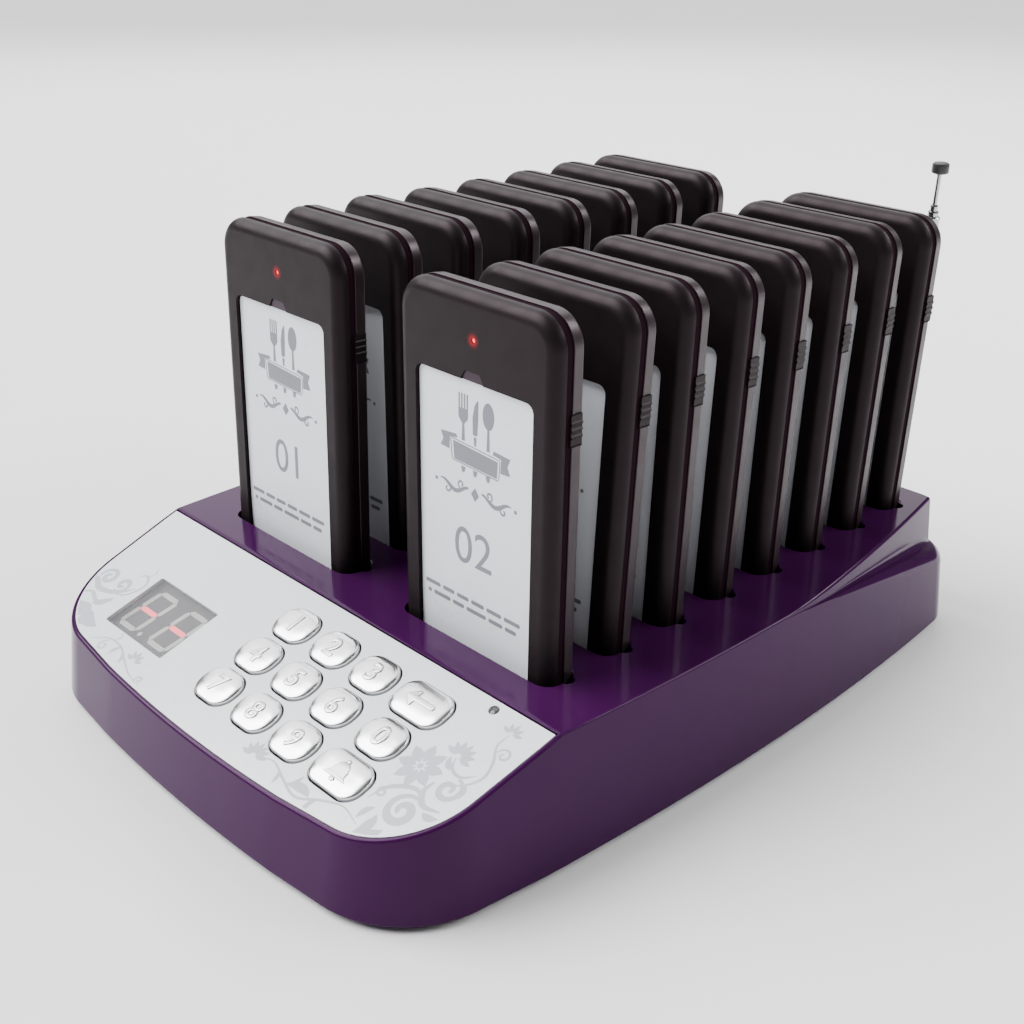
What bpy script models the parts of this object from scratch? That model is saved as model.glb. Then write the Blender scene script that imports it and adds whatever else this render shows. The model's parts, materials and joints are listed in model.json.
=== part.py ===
"""Guest paging set: a charging base with a keypad and sixteen pagers standing in its slots.

All sizes are millimetres. The set frame has x across, y back from the first pager row and z up
from the deck, the flat top that the slots are cut in. The empty "paging_set" carries that frame,
so that the finished set stands on z = 0 with its bounding box centred on the origin.
"""
import math

import bmesh
import bpy
from mathutils import Matrix, Vector

MM = 0.001

# ---- Base ----
SKIRT_DEPTH = 33.5          # deck down to the lower edge of the housing
FOOT_HEIGHT = 1.5           # table up to the lower edge of the housing
DECK_HEIGHT = SKIRT_DEPTH + FOOT_HEIGHT
TOP_HALF_WIDTH = 79.2       # at the deck, where the sides are widest
SKIRT_HALF_WIDTH = 82.0     # at the lower edge
SIDE_PEAK_Y = 58.0          # where the bowed sides are widest
FRONT_SIDE_RADIUS = 950.0   # of the sides ahead of that
REAR_SIDE_RADIUS = 800.0    # and behind it
TOP_FRONT_Y = -60.4
SKIRT_FRONT_Y = -65.1
FRONT_RADIUS = 535.0
TOP_REAR_Y = 151.0
SKIRT_REAR_Y = 153.0
TOP_CORNER = 23.0           # front corner radius at the deck
SKIRT_CORNER = 27.0
REAR_CORNER = 13.0
WALL = 2.0
DECK_WALL = 2.4
GAP = 0.3                   # between pieces that touch

# ---- Sloped keypad face ----
SLOPE_Y = -14.62            # where the deck ends and the slope begins
SLOPE_ANGLE = math.radians(18.02)
SLOPE_WALL = 3.0
RIM = 1.15                  # of housing left round the face plate
PLATE_THICKNESS = 1.0
PLATE_SETBACK = 0.4         # from the deck edge to the plate

# ---- Scoops beside the deck at the rear ----
SCOOP_START_Y = 50.0        # where the shelf leaves the deck level
SCOOP_WALL_Y = 56.0         # where the deck wall leaves the side
SHELF_SLOPE = 0.055
SHELF_CURVE = 0.0008
DECK_WALL_BEND = 28.0       # length over which the deck wall turns inwards
DECK_WALL_SLOPE = 0.1
SCOOP_DRAFT = 0.08

# ---- Pagers ----
ROWS = 8
COLUMN_X = 36.6
ROW_PITCH = 19.55
PAGER_WIDTH = 50.0
PAGER_HEIGHT = 105.0
PAGER_FRONT = 4.56          # front face to the slide axis
PAGER_REAR = 4.22
PAGER_TOP_CORNER = 7.9
PAGER_FOOT_CORNER = 5.0
PAGER_SEAT = 83.56 - PAGER_HEIGHT   # foot of a pager, from the deck
FRONT_EDGE = 3.2            # radius of the rounded front rim
REAR_EDGE = 0.9
SHELL_WALL = 1.3
SEAM_Y = 1.0                # rear edge of the front shell, from the slide axis
LABEL_WIDTH = 36.1
LABEL_TOP = 64.0            # from the deck
LABEL_LENGTH = 77.0
LAMP_Z = 73.65
MEAN_LEAN = 1.53            # degrees, back from upright
# The pagers stand loosely, each with its own lean and its own height on the sprung contacts.
LEANS = {1: 1.2, 2: 0.3, 3: 0.1, 4: 2.5, 5: 0.6, 6: 1.4, 7: 1.6, 8: 2.0, 9: 1.8,
         10: 1.45, 11: 1.7, 12: 1.6, 13: 1.9, 14: 2.15, 15: 1.9, 16: 2.0}
LIFTS = {1: 0.7, 2: 1.2, 3: 0.9, 4: -0.15, 5: 0.7, 7: -0.1, 8: -0.35, 9: -0.3, 10: -0.55,
         11: -0.4, 12: -0.55, 13: -0.3, 14: -0.2, 15: -0.5, 16: -0.7}
SLOT_CLEARANCE = 0.85
POCKET_CLEARANCE = 1.2

# ---- Keys ----
KEY_COLUMNS = (-3.6, 11.7, 26.9, 43.6)
KEY_ROWS = (11.75, 23.75, 35.75)
KEY_SIZE = (12.6, 10.0)
WIDE_KEY_SIZE = (16.0, 10.0)
KEY_CORNER = 4.4
KEY_HEIGHT = 1.15           # above the face plate
KEY_DEPTH = 3.6             # below it
KEY_TRAVEL = 0.8
KEY_CLEARANCE = 0.35
LAYOUT = (("key_1", "key_2", "key_3", "key_delete"),
          ("key_4", "key_5", "key_6", "key_0"),
          ("key_7", "key_8", "key_9", "key_call"))

# ---- Display and lamp on the slope ----
WINDOW_X = (-52.9, -25.8)
WINDOW_S = (20.4, 39.1)
LENS_THICKNESS = 1.0
MODULE_SIZE = (25.4, 19.0, 8.0)
LAMP_X = 58.7
LAMP_S = 3.6
LAMP_DIAMETER = 2.4

# ---- Antenna ----
ANTENNA_X = 47.7            # at the pivot
ANTENNA_Y = 157.5
ANTENNA_Z = -13.0
ANTENNA_LEAN = math.radians(1.3)
EAR_RADIUS = 3.4
TONGUE_THICKNESS = 2.4
PIN_RADIUS = 0.8
TUBE_START = 5.5
# name, inner radius, outer radius, lower end and upper end along the antenna
TUBES = (("antenna_outer_tube", 1.6, 1.95, TUBE_START, 91.6),
         ("antenna_middle_tube", 1.2, 1.4, 12.0, 93.1),
         ("antenna_inner_tube", 0.8, 1.0, 13.0, 94.8))
ROD_RADIUS = 0.6
TUBE_PLUG = 4.0             # solid lower end of the outer tube
ROD_SPAN = (18.0, 104.5)
TIP_RADIUS = 2.35
TIP_LENGTH = 3.0
TIP_OVERLAP = 1.0           # of the cap and the rod
TONGUE_RADIUS = 1.8         # short enough to turn between the ears, clear of the swivel's disc
EAR_THICKNESS = 1.5
DISC_RADIUS = 3.7
DISC_FACE = -EAR_RADIUS + 1.3
BUSH_RADIUS = 3.0
WASHER_RADIUS = 4.8
WASHER_THICKNESS = 0.8

# ---- Fasteners, feet and boards ----
SCREWS = ((70.0, -8.0), (69.8, 100.0))   # right side; mirrored for the left
FEET = ((60.0, -38.0), (58.0, 134.0))
FOOT_RADIUS = 6.0
BOSS_RADIUS = 3.2
SCREW_RADIUS = 1.2
COVER_THICKNESS = 2.4
BOARD_THICKNESS = 1.6
CRADLE_HALF_WIDTH = 27.4
CRADLE_DEPTH = 19.3
BOARD_TOP = -23.2           # the charging contacts' board, from the deck
JACK_Z = -26.0
JACK_HALF_WIDTH = 4.7
JACK_HALF_HEIGHT = 4.4
JACK_LENGTH = 12.5
SOCKET_RADIUS = 3.1
SOCKET_PIN_RADIUS = 1.0
SOCKET_DEPTH = 9.5
MEMBRANE = (-9.0, 55.0, 5.5, 43.0)      # x and distance down the slope
MEMBRANE_THICKNESS = 1.2
KEYPAD_BOARD = (-14.0, 56.0, 4.0, 44.0)

REAR_MOST_Y = ANTENNA_Y + EAR_RADIUS
CENTRE_Y = (SKIRT_FRONT_Y + REAR_MOST_Y) / 2


# ---- Scene and small helpers ----
def start_scene():
    """Clear the scene and make one collection for the parts and one for the cutters."""
    for obj in list(bpy.data.objects):
        bpy.data.objects.remove(obj, do_unlink=True)
    made = []
    for name in ("paging_set", "cutters"):
        collection = bpy.data.collections.new(name)
        bpy.context.scene.collection.children.link(collection)
        made.append(collection)
    return made


def make_material(name, color, roughness, metallic=0.0, alpha=1.0):
    material = bpy.data.materials.new(name)
    material.use_nodes = True
    shader = material.node_tree.nodes["Principled BSDF"]
    shader.inputs["Base Color"].default_value = (*color, 1.0)
    shader.inputs["Roughness"].default_value = roughness
    shader.inputs["Metallic"].default_value = metallic
    shader.inputs["Alpha"].default_value = alpha
    return material


PARTS, CUTTERS = start_scene()
PURPLE = make_material("purple_abs", (0.10, 0.03, 0.15), 0.2)
BLACK = make_material("black_abs", (0.02, 0.016, 0.018), 0.5)
PLATE = make_material("printed_plate", (0.75, 0.77, 0.79), 0.25)
SILVER = make_material("silver_key", (0.72, 0.72, 0.73), 0.25, 0.8)
SMOKE = make_material("display_lens", (0.32, 0.32, 0.34), 0.15, 0.0, 0.5)
LED_GREY = make_material("display_body", (0.30, 0.30, 0.31), 0.5)
RED_LENS = make_material("red_lamp", (0.8, 0.05, 0.05), 0.2)
DARK_LENS = make_material("status_lamp", (0.04, 0.04, 0.05), 0.2)
RUBBER = make_material("rubber", (0.03, 0.03, 0.03), 0.8)
SILICONE = make_material("silicone", (0.55, 0.55, 0.56), 0.6)
GREEN = make_material("circuit_board", (0.02, 0.12, 0.05), 0.4)
PAPER = make_material("label_paper", (0.62, 0.65, 0.69), 0.35)
FOIL = make_material("battery_foil", (0.45, 0.46, 0.48), 0.35, 0.6)
STEEL = make_material("steel", (0.35, 0.35, 0.36), 0.25, 1.0)


def empty(name, parent=None, location=(0.0, 0.0, 0.0), rotation=(0.0, 0.0, 0.0)):
    obj = bpy.data.objects.new(name, None)
    PARTS.objects.link(obj)
    obj.parent = parent
    obj.location = Vector(location) * MM
    obj.rotation_euler = rotation
    return obj


def add(name, bm, parent, material=None, location=(0.0, 0.0, 0.0), rotation=(0.0, 0.0, 0.0)):
    """Make an object from a bmesh: a part if it has a material, otherwise a cutter."""
    mesh = bpy.data.meshes.new(name)
    bm.to_mesh(mesh)
    bm.free()
    obj = bpy.data.objects.new(name, mesh)
    obj.parent = parent
    obj.location = Vector(location) * MM
    obj.rotation_euler = rotation
    if material:
        mesh.materials.append(material)
        PARTS.objects.link(obj)
    else:
        CUTTERS.objects.link(obj)
        obj.hide_render = True
        obj.display_type = "WIRE"
    return obj


def boolean(target, other, operation="DIFFERENCE"):
    modifier = target.modifiers.new(operation.lower(), "BOOLEAN")
    modifier.object = other
    modifier.operation = operation
    modifier.solver = "EXACT"


# ---- Outlines: lists of (x, y) points, counter-clockwise ----
def fillet(before, corner, after, radius, segments):
    """Points of the arc that rounds a corner."""
    corner = Vector(corner)
    first = (Vector(before) - corner).normalized()
    second = (Vector(after) - corner).normalized()
    half = first.angle(second) / 2
    centre = corner + (first + second).normalized() * (radius / math.sin(half))
    start = corner + first * (radius / math.tan(half)) - centre
    sweep = math.pi - 2 * half
    turn = sweep if first.x * second.y - first.y * second.x < 0 else -sweep
    points = []
    for i in range(segments + 1):
        angle = turn * i / segments
        cos, sin = math.cos(angle), math.sin(angle)
        points.append((centre.x + start.x * cos - start.y * sin,
                       centre.y + start.x * sin + start.y * cos))
    return points


def rounded(corners, segments=4):
    """A closed outline from (x, y, radius) corners."""
    points = []
    for i, (x, y, radius) in enumerate(corners):
        if radius <= 0:
            points.append((x, y))
            continue
        before = corners[i - 1][:2]
        after = corners[(i + 1) % len(corners)][:2]
        points += fillet(before, (x, y), after, radius, segments)
    return points


def rectangle(x0, x1, y0, y1, radius=0.0, segments=4):
    return rounded([(x0, y0, radius), (x1, y0, radius), (x1, y1, radius), (x0, y1, radius)],
                   segments)


def mirrored(right_side):
    """Close a right-hand run of points, front to rear, with its mirror image."""
    return right_side + [(-x, y) for x, y in reversed(right_side) if x > 0]


# ---- Solids ----
def prism(outline, low, high):
    """An outline drawn up from low to high."""
    bm = bmesh.new()
    face = bm.faces.new([bm.verts.new(Vector((x, y, low)) * MM) for x, y in outline])
    grown = bmesh.ops.extrude_face_region(bm, geom=[face])["geom"]
    top = [v for v in grown if isinstance(v, bmesh.types.BMVert)]
    bmesh.ops.translate(bm, verts=top, vec=(0.0, 0.0, (high - low) * MM))
    bmesh.ops.recalc_face_normals(bm, faces=bm.faces)
    return bm


def block(x0, x1, y0, y1, z0, z1):
    bm = bmesh.new()
    bmesh.ops.create_cube(bm, size=1.0)
    bmesh.ops.scale(bm, vec=Vector((x1 - x0, y1 - y0, z1 - z0)) * MM, verts=bm.verts)
    middle = Vector((x0 + x1, y0 + y1, z0 + z1)) * (MM / 2)
    bmesh.ops.translate(bm, vec=middle, verts=bm.verts)
    return bm


def cylinder(radius, low, high, segments=16):
    bm = bmesh.new()
    bmesh.ops.create_cone(bm, cap_ends=True, segments=segments, radius1=radius * MM,
                          radius2=radius * MM, depth=(high - low) * MM)
    bmesh.ops.translate(bm, vec=(0.0, 0.0, (low + high) / 2 * MM), verts=bm.verts)
    return bm


def pipe(inner, outer, low, high, floor=0.0, segments=12):
    """A tube along z; with a floor, its lower end is closed up to that height."""
    if floor:
        profile = [(0.0, low), (outer, low), (outer, high), (inner, high), (inner, floor),
                   (0.0, floor)]
    else:
        profile = [(inner, low), (outer, low), (outer, high), (inner, high), (inner, low)]
    bm = bmesh.new()
    verts = [bm.verts.new((r * MM, 0.0, z * MM)) for r, z in profile]
    edges = [bm.edges.new(pair) for pair in zip(verts, verts[1:])]
    bmesh.ops.spin(bm, geom=verts + edges, cent=(0.0, 0.0, 0.0), axis=(0.0, 0.0, 1.0),
                   angle=math.tau, steps=segments, use_duplicate=False)
    bmesh.ops.remove_doubles(bm, verts=bm.verts, dist=1e-6)
    bmesh.ops.recalc_face_normals(bm, faces=bm.faces)
    return bm


def loft(sections):
    """A closed skin over sections that are lists of 3-D points, all of one length."""
    bm = bmesh.new()
    rings = [[bm.verts.new(Vector(point) * MM) for point in section] for section in sections]
    for near, far in zip(rings, rings[1:]):
        for i in range(len(near)):
            j = (i + 1) % len(near)
            bm.faces.new((near[i], near[j], far[j], far[i]))
    bm.faces.new(rings[0])
    bm.faces.new(rings[-1])
    bmesh.ops.recalc_face_normals(bm, faces=bm.faces)
    return bm


def round_rim(bm, height, radius, segments=2):
    """Round the edges that lie at one height."""
    rim = [e for e in bm.edges if all(abs(v.co.z - height * MM) < 1e-6 for v in e.verts)]
    bmesh.ops.bevel(bm, geom=rim, offset=radius * MM, segments=segments, profile=0.5,
                    affect="EDGES")
    return bm


def stand_up(bm):
    """Turn a solid drawn up from the z plane so that its top faces forward, along -y."""
    bmesh.ops.rotate(bm, verts=bm.verts, matrix=Matrix.Rotation(math.pi / 2, 3, "X"))
    return bm


def lay_back(bm):
    """Turn a solid along z so that it lies along y."""
    bmesh.ops.rotate(bm, verts=bm.verts, matrix=Matrix.Rotation(-math.pi / 2, 3, "X"))
    return bm


def lay_across(bm):
    """Turn a solid along z so that it lies along x."""
    bmesh.ops.rotate(bm, verts=bm.verts, matrix=Matrix.Rotation(math.pi / 2, 3, "Y"))
    return bm


# ---- Shape of the base ----
def side_x(y, half_width):
    """Half width at y of a bowed side that is half_width at its widest."""
    radius = FRONT_SIDE_RADIUS if y < SIDE_PEAK_Y else REAR_SIDE_RADIUS
    return half_width - (y - SIDE_PEAK_Y) ** 2 / (2 * radius)


def base_outline(z, inset=0.0):
    """Plan outline of the housing at height z, drawn in by inset."""
    drop = -z / SKIRT_DEPTH
    half = TOP_HALF_WIDTH + (SKIRT_HALF_WIDTH - TOP_HALF_WIDTH) * drop - inset
    front = TOP_FRONT_Y + (SKIRT_FRONT_Y - TOP_FRONT_Y) * drop + inset
    rear = TOP_REAR_Y + (SKIRT_REAR_Y - TOP_REAR_Y) * drop - inset
    front_corner = TOP_CORNER + (SKIRT_CORNER - TOP_CORNER) * drop - inset
    corner_x = side_x(front, half)
    corner_y = front + corner_x ** 2 / (2 * FRONT_RADIUS)
    right = [(x, front + x ** 2 / (2 * FRONT_RADIUS)) for x in (0.0, 18.0, 36.0)]
    right += fillet(right[-1], (corner_x, corner_y), (side_x(-20.0, half), -20.0),
                    front_corner, 8)
    right += [(side_x(y, half), y) for y in range(-20, 140, 20)]
    right += fillet((side_x(120.0, half), 120.0), (side_x(rear, half), rear), (0.0, rear),
                    REAR_CORNER - inset, 4)
    return mirrored(right)


def deck_wall_x(y):
    """Half width of the deck beside the scoops."""
    run = max(0.0, y - SCOOP_WALL_Y)
    bend = min(run, DECK_WALL_BEND)
    inward = DECK_WALL_SLOPE * bend ** 2 / (2 * DECK_WALL_BEND)
    inward += DECK_WALL_SLOPE * max(0.0, run - DECK_WALL_BEND)
    return side_x(y, TOP_HALF_WIDTH) - inward


def shelf_z(y):
    """Height of the shelf outside the deck wall."""
    run = max(0.0, y - SCOOP_START_Y)
    return -SHELF_SLOPE * run - SHELF_CURVE * run ** 2


def scoop_cutter(name, side, inset, parent):
    """The space above the shelf and outside the deck wall, on one side."""
    sections = []
    above = 5.0
    outer = SKIRT_HALF_WIDTH + 10.0
    stations = [SCOOP_START_Y + 1.0, SCOOP_WALL_Y] + list(range(62, 152, 10)) + [160]
    for y in stations:
        low = shelf_z(y) - inset
        widening = max(0.0, SCOOP_WALL_Y - y) * 0.02
        top_x = deck_wall_x(y) - inset + widening
        foot_x = top_x - SCOOP_DRAFT * low
        sections.append([(side * foot_x, y, low), (side * outer, y, low),
                         (side * outer, y, above), (side * top_x, y, above)])
    return add(name, loft(sections), parent)


def housing_block(name, inset, floor_z, top_z, slope_drop, parent, material=None):
    """The housing's outer form, or with an inset the form of the space inside it."""
    sections = [[(x, y, z) for x, y in base_outline(z, inset)] for z in (floor_z, top_z)]
    body = add(name, loft(sections), parent, material)
    far = -80.0
    near = (top_z + slope_drop * math.cos(SLOPE_ANGLE)) / math.sin(SLOPE_ANGLE)
    slope = empty(name + "_slope", parent, (0.0, SLOPE_Y, 0.0), (SLOPE_ANGLE, 0.0, 0.0))
    boolean(body, add(name + "_wedge", block(-100, 100, far, near, -slope_drop, 50), slope))
    for side, word in ((1, "right"), (-1, "left")):
        boolean(body, scoop_cutter(name + "_scoop_" + word, side, inset, parent))
    return body


def slope_rim(inset):
    """The housing's outline on the slope, right half, drawn in by inset; rear edge at y = 0."""
    tangent = math.tan(SLOPE_ANGLE)
    rim = []
    for (top_x, top_y), (low_x, low_y) in zip(base_outline(0.0), base_outline(-SKIRT_DEPTH)):
        if top_x < 0 or top_y > SLOPE_Y - 1.0:
            continue
        part = (SLOPE_Y - top_y) * tangent / (SKIRT_DEPTH + (low_y - top_y) * tangent)
        y = top_y + (low_y - top_y) * part
        rim.append(Vector((top_x + (low_x - top_x) * part, (y - SLOPE_Y) / math.cos(SLOPE_ANGLE))))
    rim.append(Vector((side_x(SLOPE_Y, TOP_HALF_WIDTH), 0.0)))
    drawn_in = []
    for i, point in enumerate(rim):
        along = rim[min(i + 1, len(rim) - 1)] - rim[max(i - 1, 0)]
        inward = Vector((-along.y, along.x)).normalized()
        drawn_in.append(point + inward * inset)
    return drawn_in


def plate_outline(grow=0.0):
    """Outline of the face plate in slope coordinates, its rear edge just short of the deck."""
    right = [(x, y) for x, y in slope_rim(RIM - grow)]
    right[-1] = (right[-1][0], grow - PLATE_SETBACK)
    return mirrored(right)


# ---- Base parts ----
def make_housing(root, slope):
    housing = housing_block("upper_housing", 0.0, -SKIRT_DEPTH, 0.0, 0.0, root, PURPLE)
    core = housing_block("core", WALL, -SKIRT_DEPTH - 3.0, -DECK_WALL, SLOPE_WALL, root)
    boolean(housing, core)
    recess_depth = PLATE_THICKNESS + GAP
    boolean(housing, add("plate_recess", prism(plate_outline(GAP), -recess_depth, 5.0), slope))
    for x, y in mirrored_places(SCREWS):
        low = -SKIRT_DEPTH + COVER_THICKNESS + GAP
        boss = add("boss", cylinder(BOSS_RADIUS, low, -DECK_WALL + 1.0, 12), root, None, (x, y, 0))
        boolean(housing, boss, "UNION")
        hole = cylinder(SCREW_RADIUS + GAP, low - 1.0, low + 9.0, 10)
        boolean(housing, add("boss_hole", hole, root, None, (x, y, 0)))
    return housing


def mirrored_places(places):
    return [(side * x, y) for x, y in places for side in (1, -1)]


def make_cover(root):
    low = -SKIRT_DEPTH
    high = low + COVER_THICKNESS
    sections = [[(x, y, z) for x, y in base_outline(z, WALL + GAP)] for z in (low, high)]
    cover = add("bottom_cover", loft(sections), root, BLACK)
    for i, (x, y) in enumerate(mirrored_places(SCREWS), 1):
        place = (x, y, 0.0)
        through = cylinder(SCREW_RADIUS + GAP, low - 1.0, high + 1.0, 10)
        boolean(cover, add("screw_hole", through, root, None, place))
        sink = cylinder(2 * SCREW_RADIUS + GAP, low - 1.0, low + 1.2, 10)
        boolean(cover, add("screw_sink", sink, root, None, place))
        screw = add("cover_screw_%d" % i, cylinder(2 * SCREW_RADIUS, low, low + 0.9, 10), root,
                    STEEL, place)
        shank = cylinder(SCREW_RADIUS, low + 0.5, low + 10.0, 10)
        boolean(screw, add("shank", shank, root, None, place), "UNION")
    for i, (x, y) in enumerate(mirrored_places(FEET), 1):
        foot = cylinder(FOOT_RADIUS, -DECK_HEIGHT, low - GAP, 16)
        add("foot_%d" % i, foot, root, RUBBER, (x, y, 0.0))


def slope_outline(x0, x1, s0, s1, radius=0.0):
    """A rectangle on the slope, given by its distances down from the rear edge."""
    return rectangle(x0, x1, -s1, -s0, radius)


def cut_slope(targets, name, outline, low, high, slope):
    cutter = add(name, prism(outline, low, high), slope)
    for target in targets:
        boolean(target, cutter)


def make_face(root, slope, housing):
    plate = add("faceplate", prism(plate_outline(), -PLATE_THICKNESS, 0.0), slope, PLATE)
    window = slope_outline(*WINDOW_X, *WINDOW_S)
    cut_slope([plate], "window", window, -3.0, 3.0, slope)
    lens = slope_outline(WINDOW_X[0] + GAP, WINDOW_X[1] - GAP, WINDOW_S[0] + GAP,
                         WINDOW_S[1] - GAP)
    add("display_lens", prism(lens, -LENS_THICKNESS, 0.0), slope, SMOKE)
    centre_x = sum(WINDOW_X) / 2
    centre_s = sum(WINDOW_S) / 2
    width, length, depth = MODULE_SIZE
    hole = slope_outline(centre_x - width / 2 - GAP, centre_x + width / 2 + GAP,
                         centre_s - length / 2 - GAP, centre_s + length / 2 + GAP)
    cut_slope([housing], "module_hole", hole, -6.0, -LENS_THICKNESS - 0.1, slope)
    face = -PLATE_THICKNESS - GAP
    body = slope_outline(centre_x - width / 2, centre_x + width / 2,
                         centre_s - length / 2, centre_s + length / 2)
    add("display_module", prism(body, face - depth, face), slope, LED_GREY)
    place = (LAMP_X, -LAMP_S, 0.0)
    radius = LAMP_DIAMETER / 2
    hole = add("lamp_hole", cylinder(radius + GAP, -7.0, 3.0, 16), slope, None, place)
    boolean(plate, hole)
    boolean(housing, hole)
    add("status_lamp", cylinder(radius, -4.5, 0.0, 12), slope, DARK_LENS, place)
    return plate


def make_keys(slope, plate, housing):
    for row, names in zip(KEY_ROWS, LAYOUT):
        for column, name in zip(KEY_COLUMNS, names):
            wide = name in ("key_delete", "key_call")
            width, length = WIDE_KEY_SIZE if wide else KEY_SIZE
            corner = KEY_CORNER - 0.4 if wide else KEY_CORNER
            place = (column, -row, 0.0)
            shape = rectangle(-width / 2, width / 2, -length / 2, length / 2, corner)
            bm = round_rim(prism(shape, -KEY_DEPTH, KEY_HEIGHT), KEY_HEIGHT, 1.3)
            add(name, bm, slope, SILVER, place)
            c = KEY_CLEARANCE
            shape = rectangle(-width / 2 - c, width / 2 + c, -length / 2 - c, length / 2 + c,
                              corner + c)
            hole = add(name + "_hole", prism(shape, -7.0, 3.0), slope, None, place)
            boolean(plate, hole)
            boolean(housing, hole)
    top = -KEY_DEPTH - KEY_TRAVEL - GAP
    pad = slope_outline(*MEMBRANE, 3.0)
    add("key_membrane", prism(pad, top - MEMBRANE_THICKNESS, top), slope, SILICONE)
    board = slope_outline(*KEYPAD_BOARD)
    top -= MEMBRANE_THICKNESS + GAP
    add("keypad_board", prism(board, top - BOARD_THICKNESS, top), slope, GREEN)


def pager_places():
    """Number, x, y, lean and lift of every pager; odd numbers on the left."""
    for number in range(1, 2 * ROWS + 1):
        side = -1 if number % 2 else 1
        row = (number - 1) // 2
        lean = math.radians(LEANS.get(number, MEAN_LEAN))
        yield number, side * COLUMN_X, row * ROW_PITCH, lean, LIFTS.get(number, 0.0)


def slot_shape(clearance):
    half = PAGER_WIDTH / 2 + clearance
    return rectangle(-half, half, -PAGER_FRONT - clearance, PAGER_REAR + clearance, 4.0, 3)


def make_slots(root, housing):
    tilt = (-math.radians(MEAN_LEAN), 0.0, 0.0)
    for number, x, y, _, _ in pager_places():
        slot = prism(slot_shape(SLOT_CLEARANCE), -DECK_WALL - 1.0, 3.0)
        boolean(housing, add("slot_%02d" % number, slot, root, None, (x, y, 0.0), tilt))


def make_cradles(root):
    top = -DECK_WALL - GAP
    front = -PAGER_FRONT - 3.0
    rear = (ROWS - 1) * ROW_PITCH + PAGER_REAR + 2.6
    tilt = (-math.radians(MEAN_LEAN), 0.0, 0.0)
    for side, name in ((1, "cradle_right"), (-1, "cradle_left")):
        middle = side * COLUMN_X
        body = block(middle - CRADLE_HALF_WIDTH, middle + CRADLE_HALF_WIDTH, front, rear,
                     top - CRADLE_DEPTH, top)
        cradle = add(name, body, root, BLACK)
        for number, x, y, _, _ in pager_places():
            if x * side < 0:
                continue
            pocket = prism(slot_shape(POCKET_CLEARANCE), -30.0, 3.0)
            boolean(cradle, add("pocket_%02d" % number, pocket, root, None, (x, y, 0.0), tilt))


def make_charge_board(root):
    top = BOARD_TOP
    rear = (ROWS - 1) * ROW_PITCH + PAGER_REAR + 2.0
    outline = [(-62, -7, 0), (62, -7, 0), (62, rear, 0), (8, rear, 0), (8, 126, 0),
               (-8, 126, 0), (-8, rear, 0), (-62, rear, 0)]
    add("charge_board", prism(rounded(outline), top - BOARD_THICKNESS, top), root, GREEN)


def make_jack(root, housing):
    wall_y = TOP_REAR_Y + (SKIRT_REAR_Y - TOP_REAR_Y) * -JACK_Z / SKIRT_DEPTH
    rear = wall_y - 0.1
    low, high = JACK_Z - JACK_HALF_HEIGHT, JACK_Z + JACK_HALF_HEIGHT
    body = block(-JACK_HALF_WIDTH, JACK_HALF_WIDTH, rear - JACK_LENGTH, rear, low, high)
    jack = add("power_jack", body, root, BLACK)
    place = (0.0, rear, JACK_Z)
    socket = pipe(SOCKET_PIN_RADIUS, SOCKET_RADIUS, -SOCKET_DEPTH, 1.0)
    boolean(jack, add("jack_socket", lay_back(socket), root, None, place))
    mouth = lay_back(cylinder(SOCKET_RADIUS, -1.0, 1.0, 12))
    boolean(jack, add("jack_mouth", mouth, root, None, place))
    opening = block(-JACK_HALF_WIDTH - GAP, JACK_HALF_WIDTH + GAP, rear - 5.0, rear + 5.0,
                    low - GAP, high + GAP)
    boolean(housing, add("jack_opening", opening, root))


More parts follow.
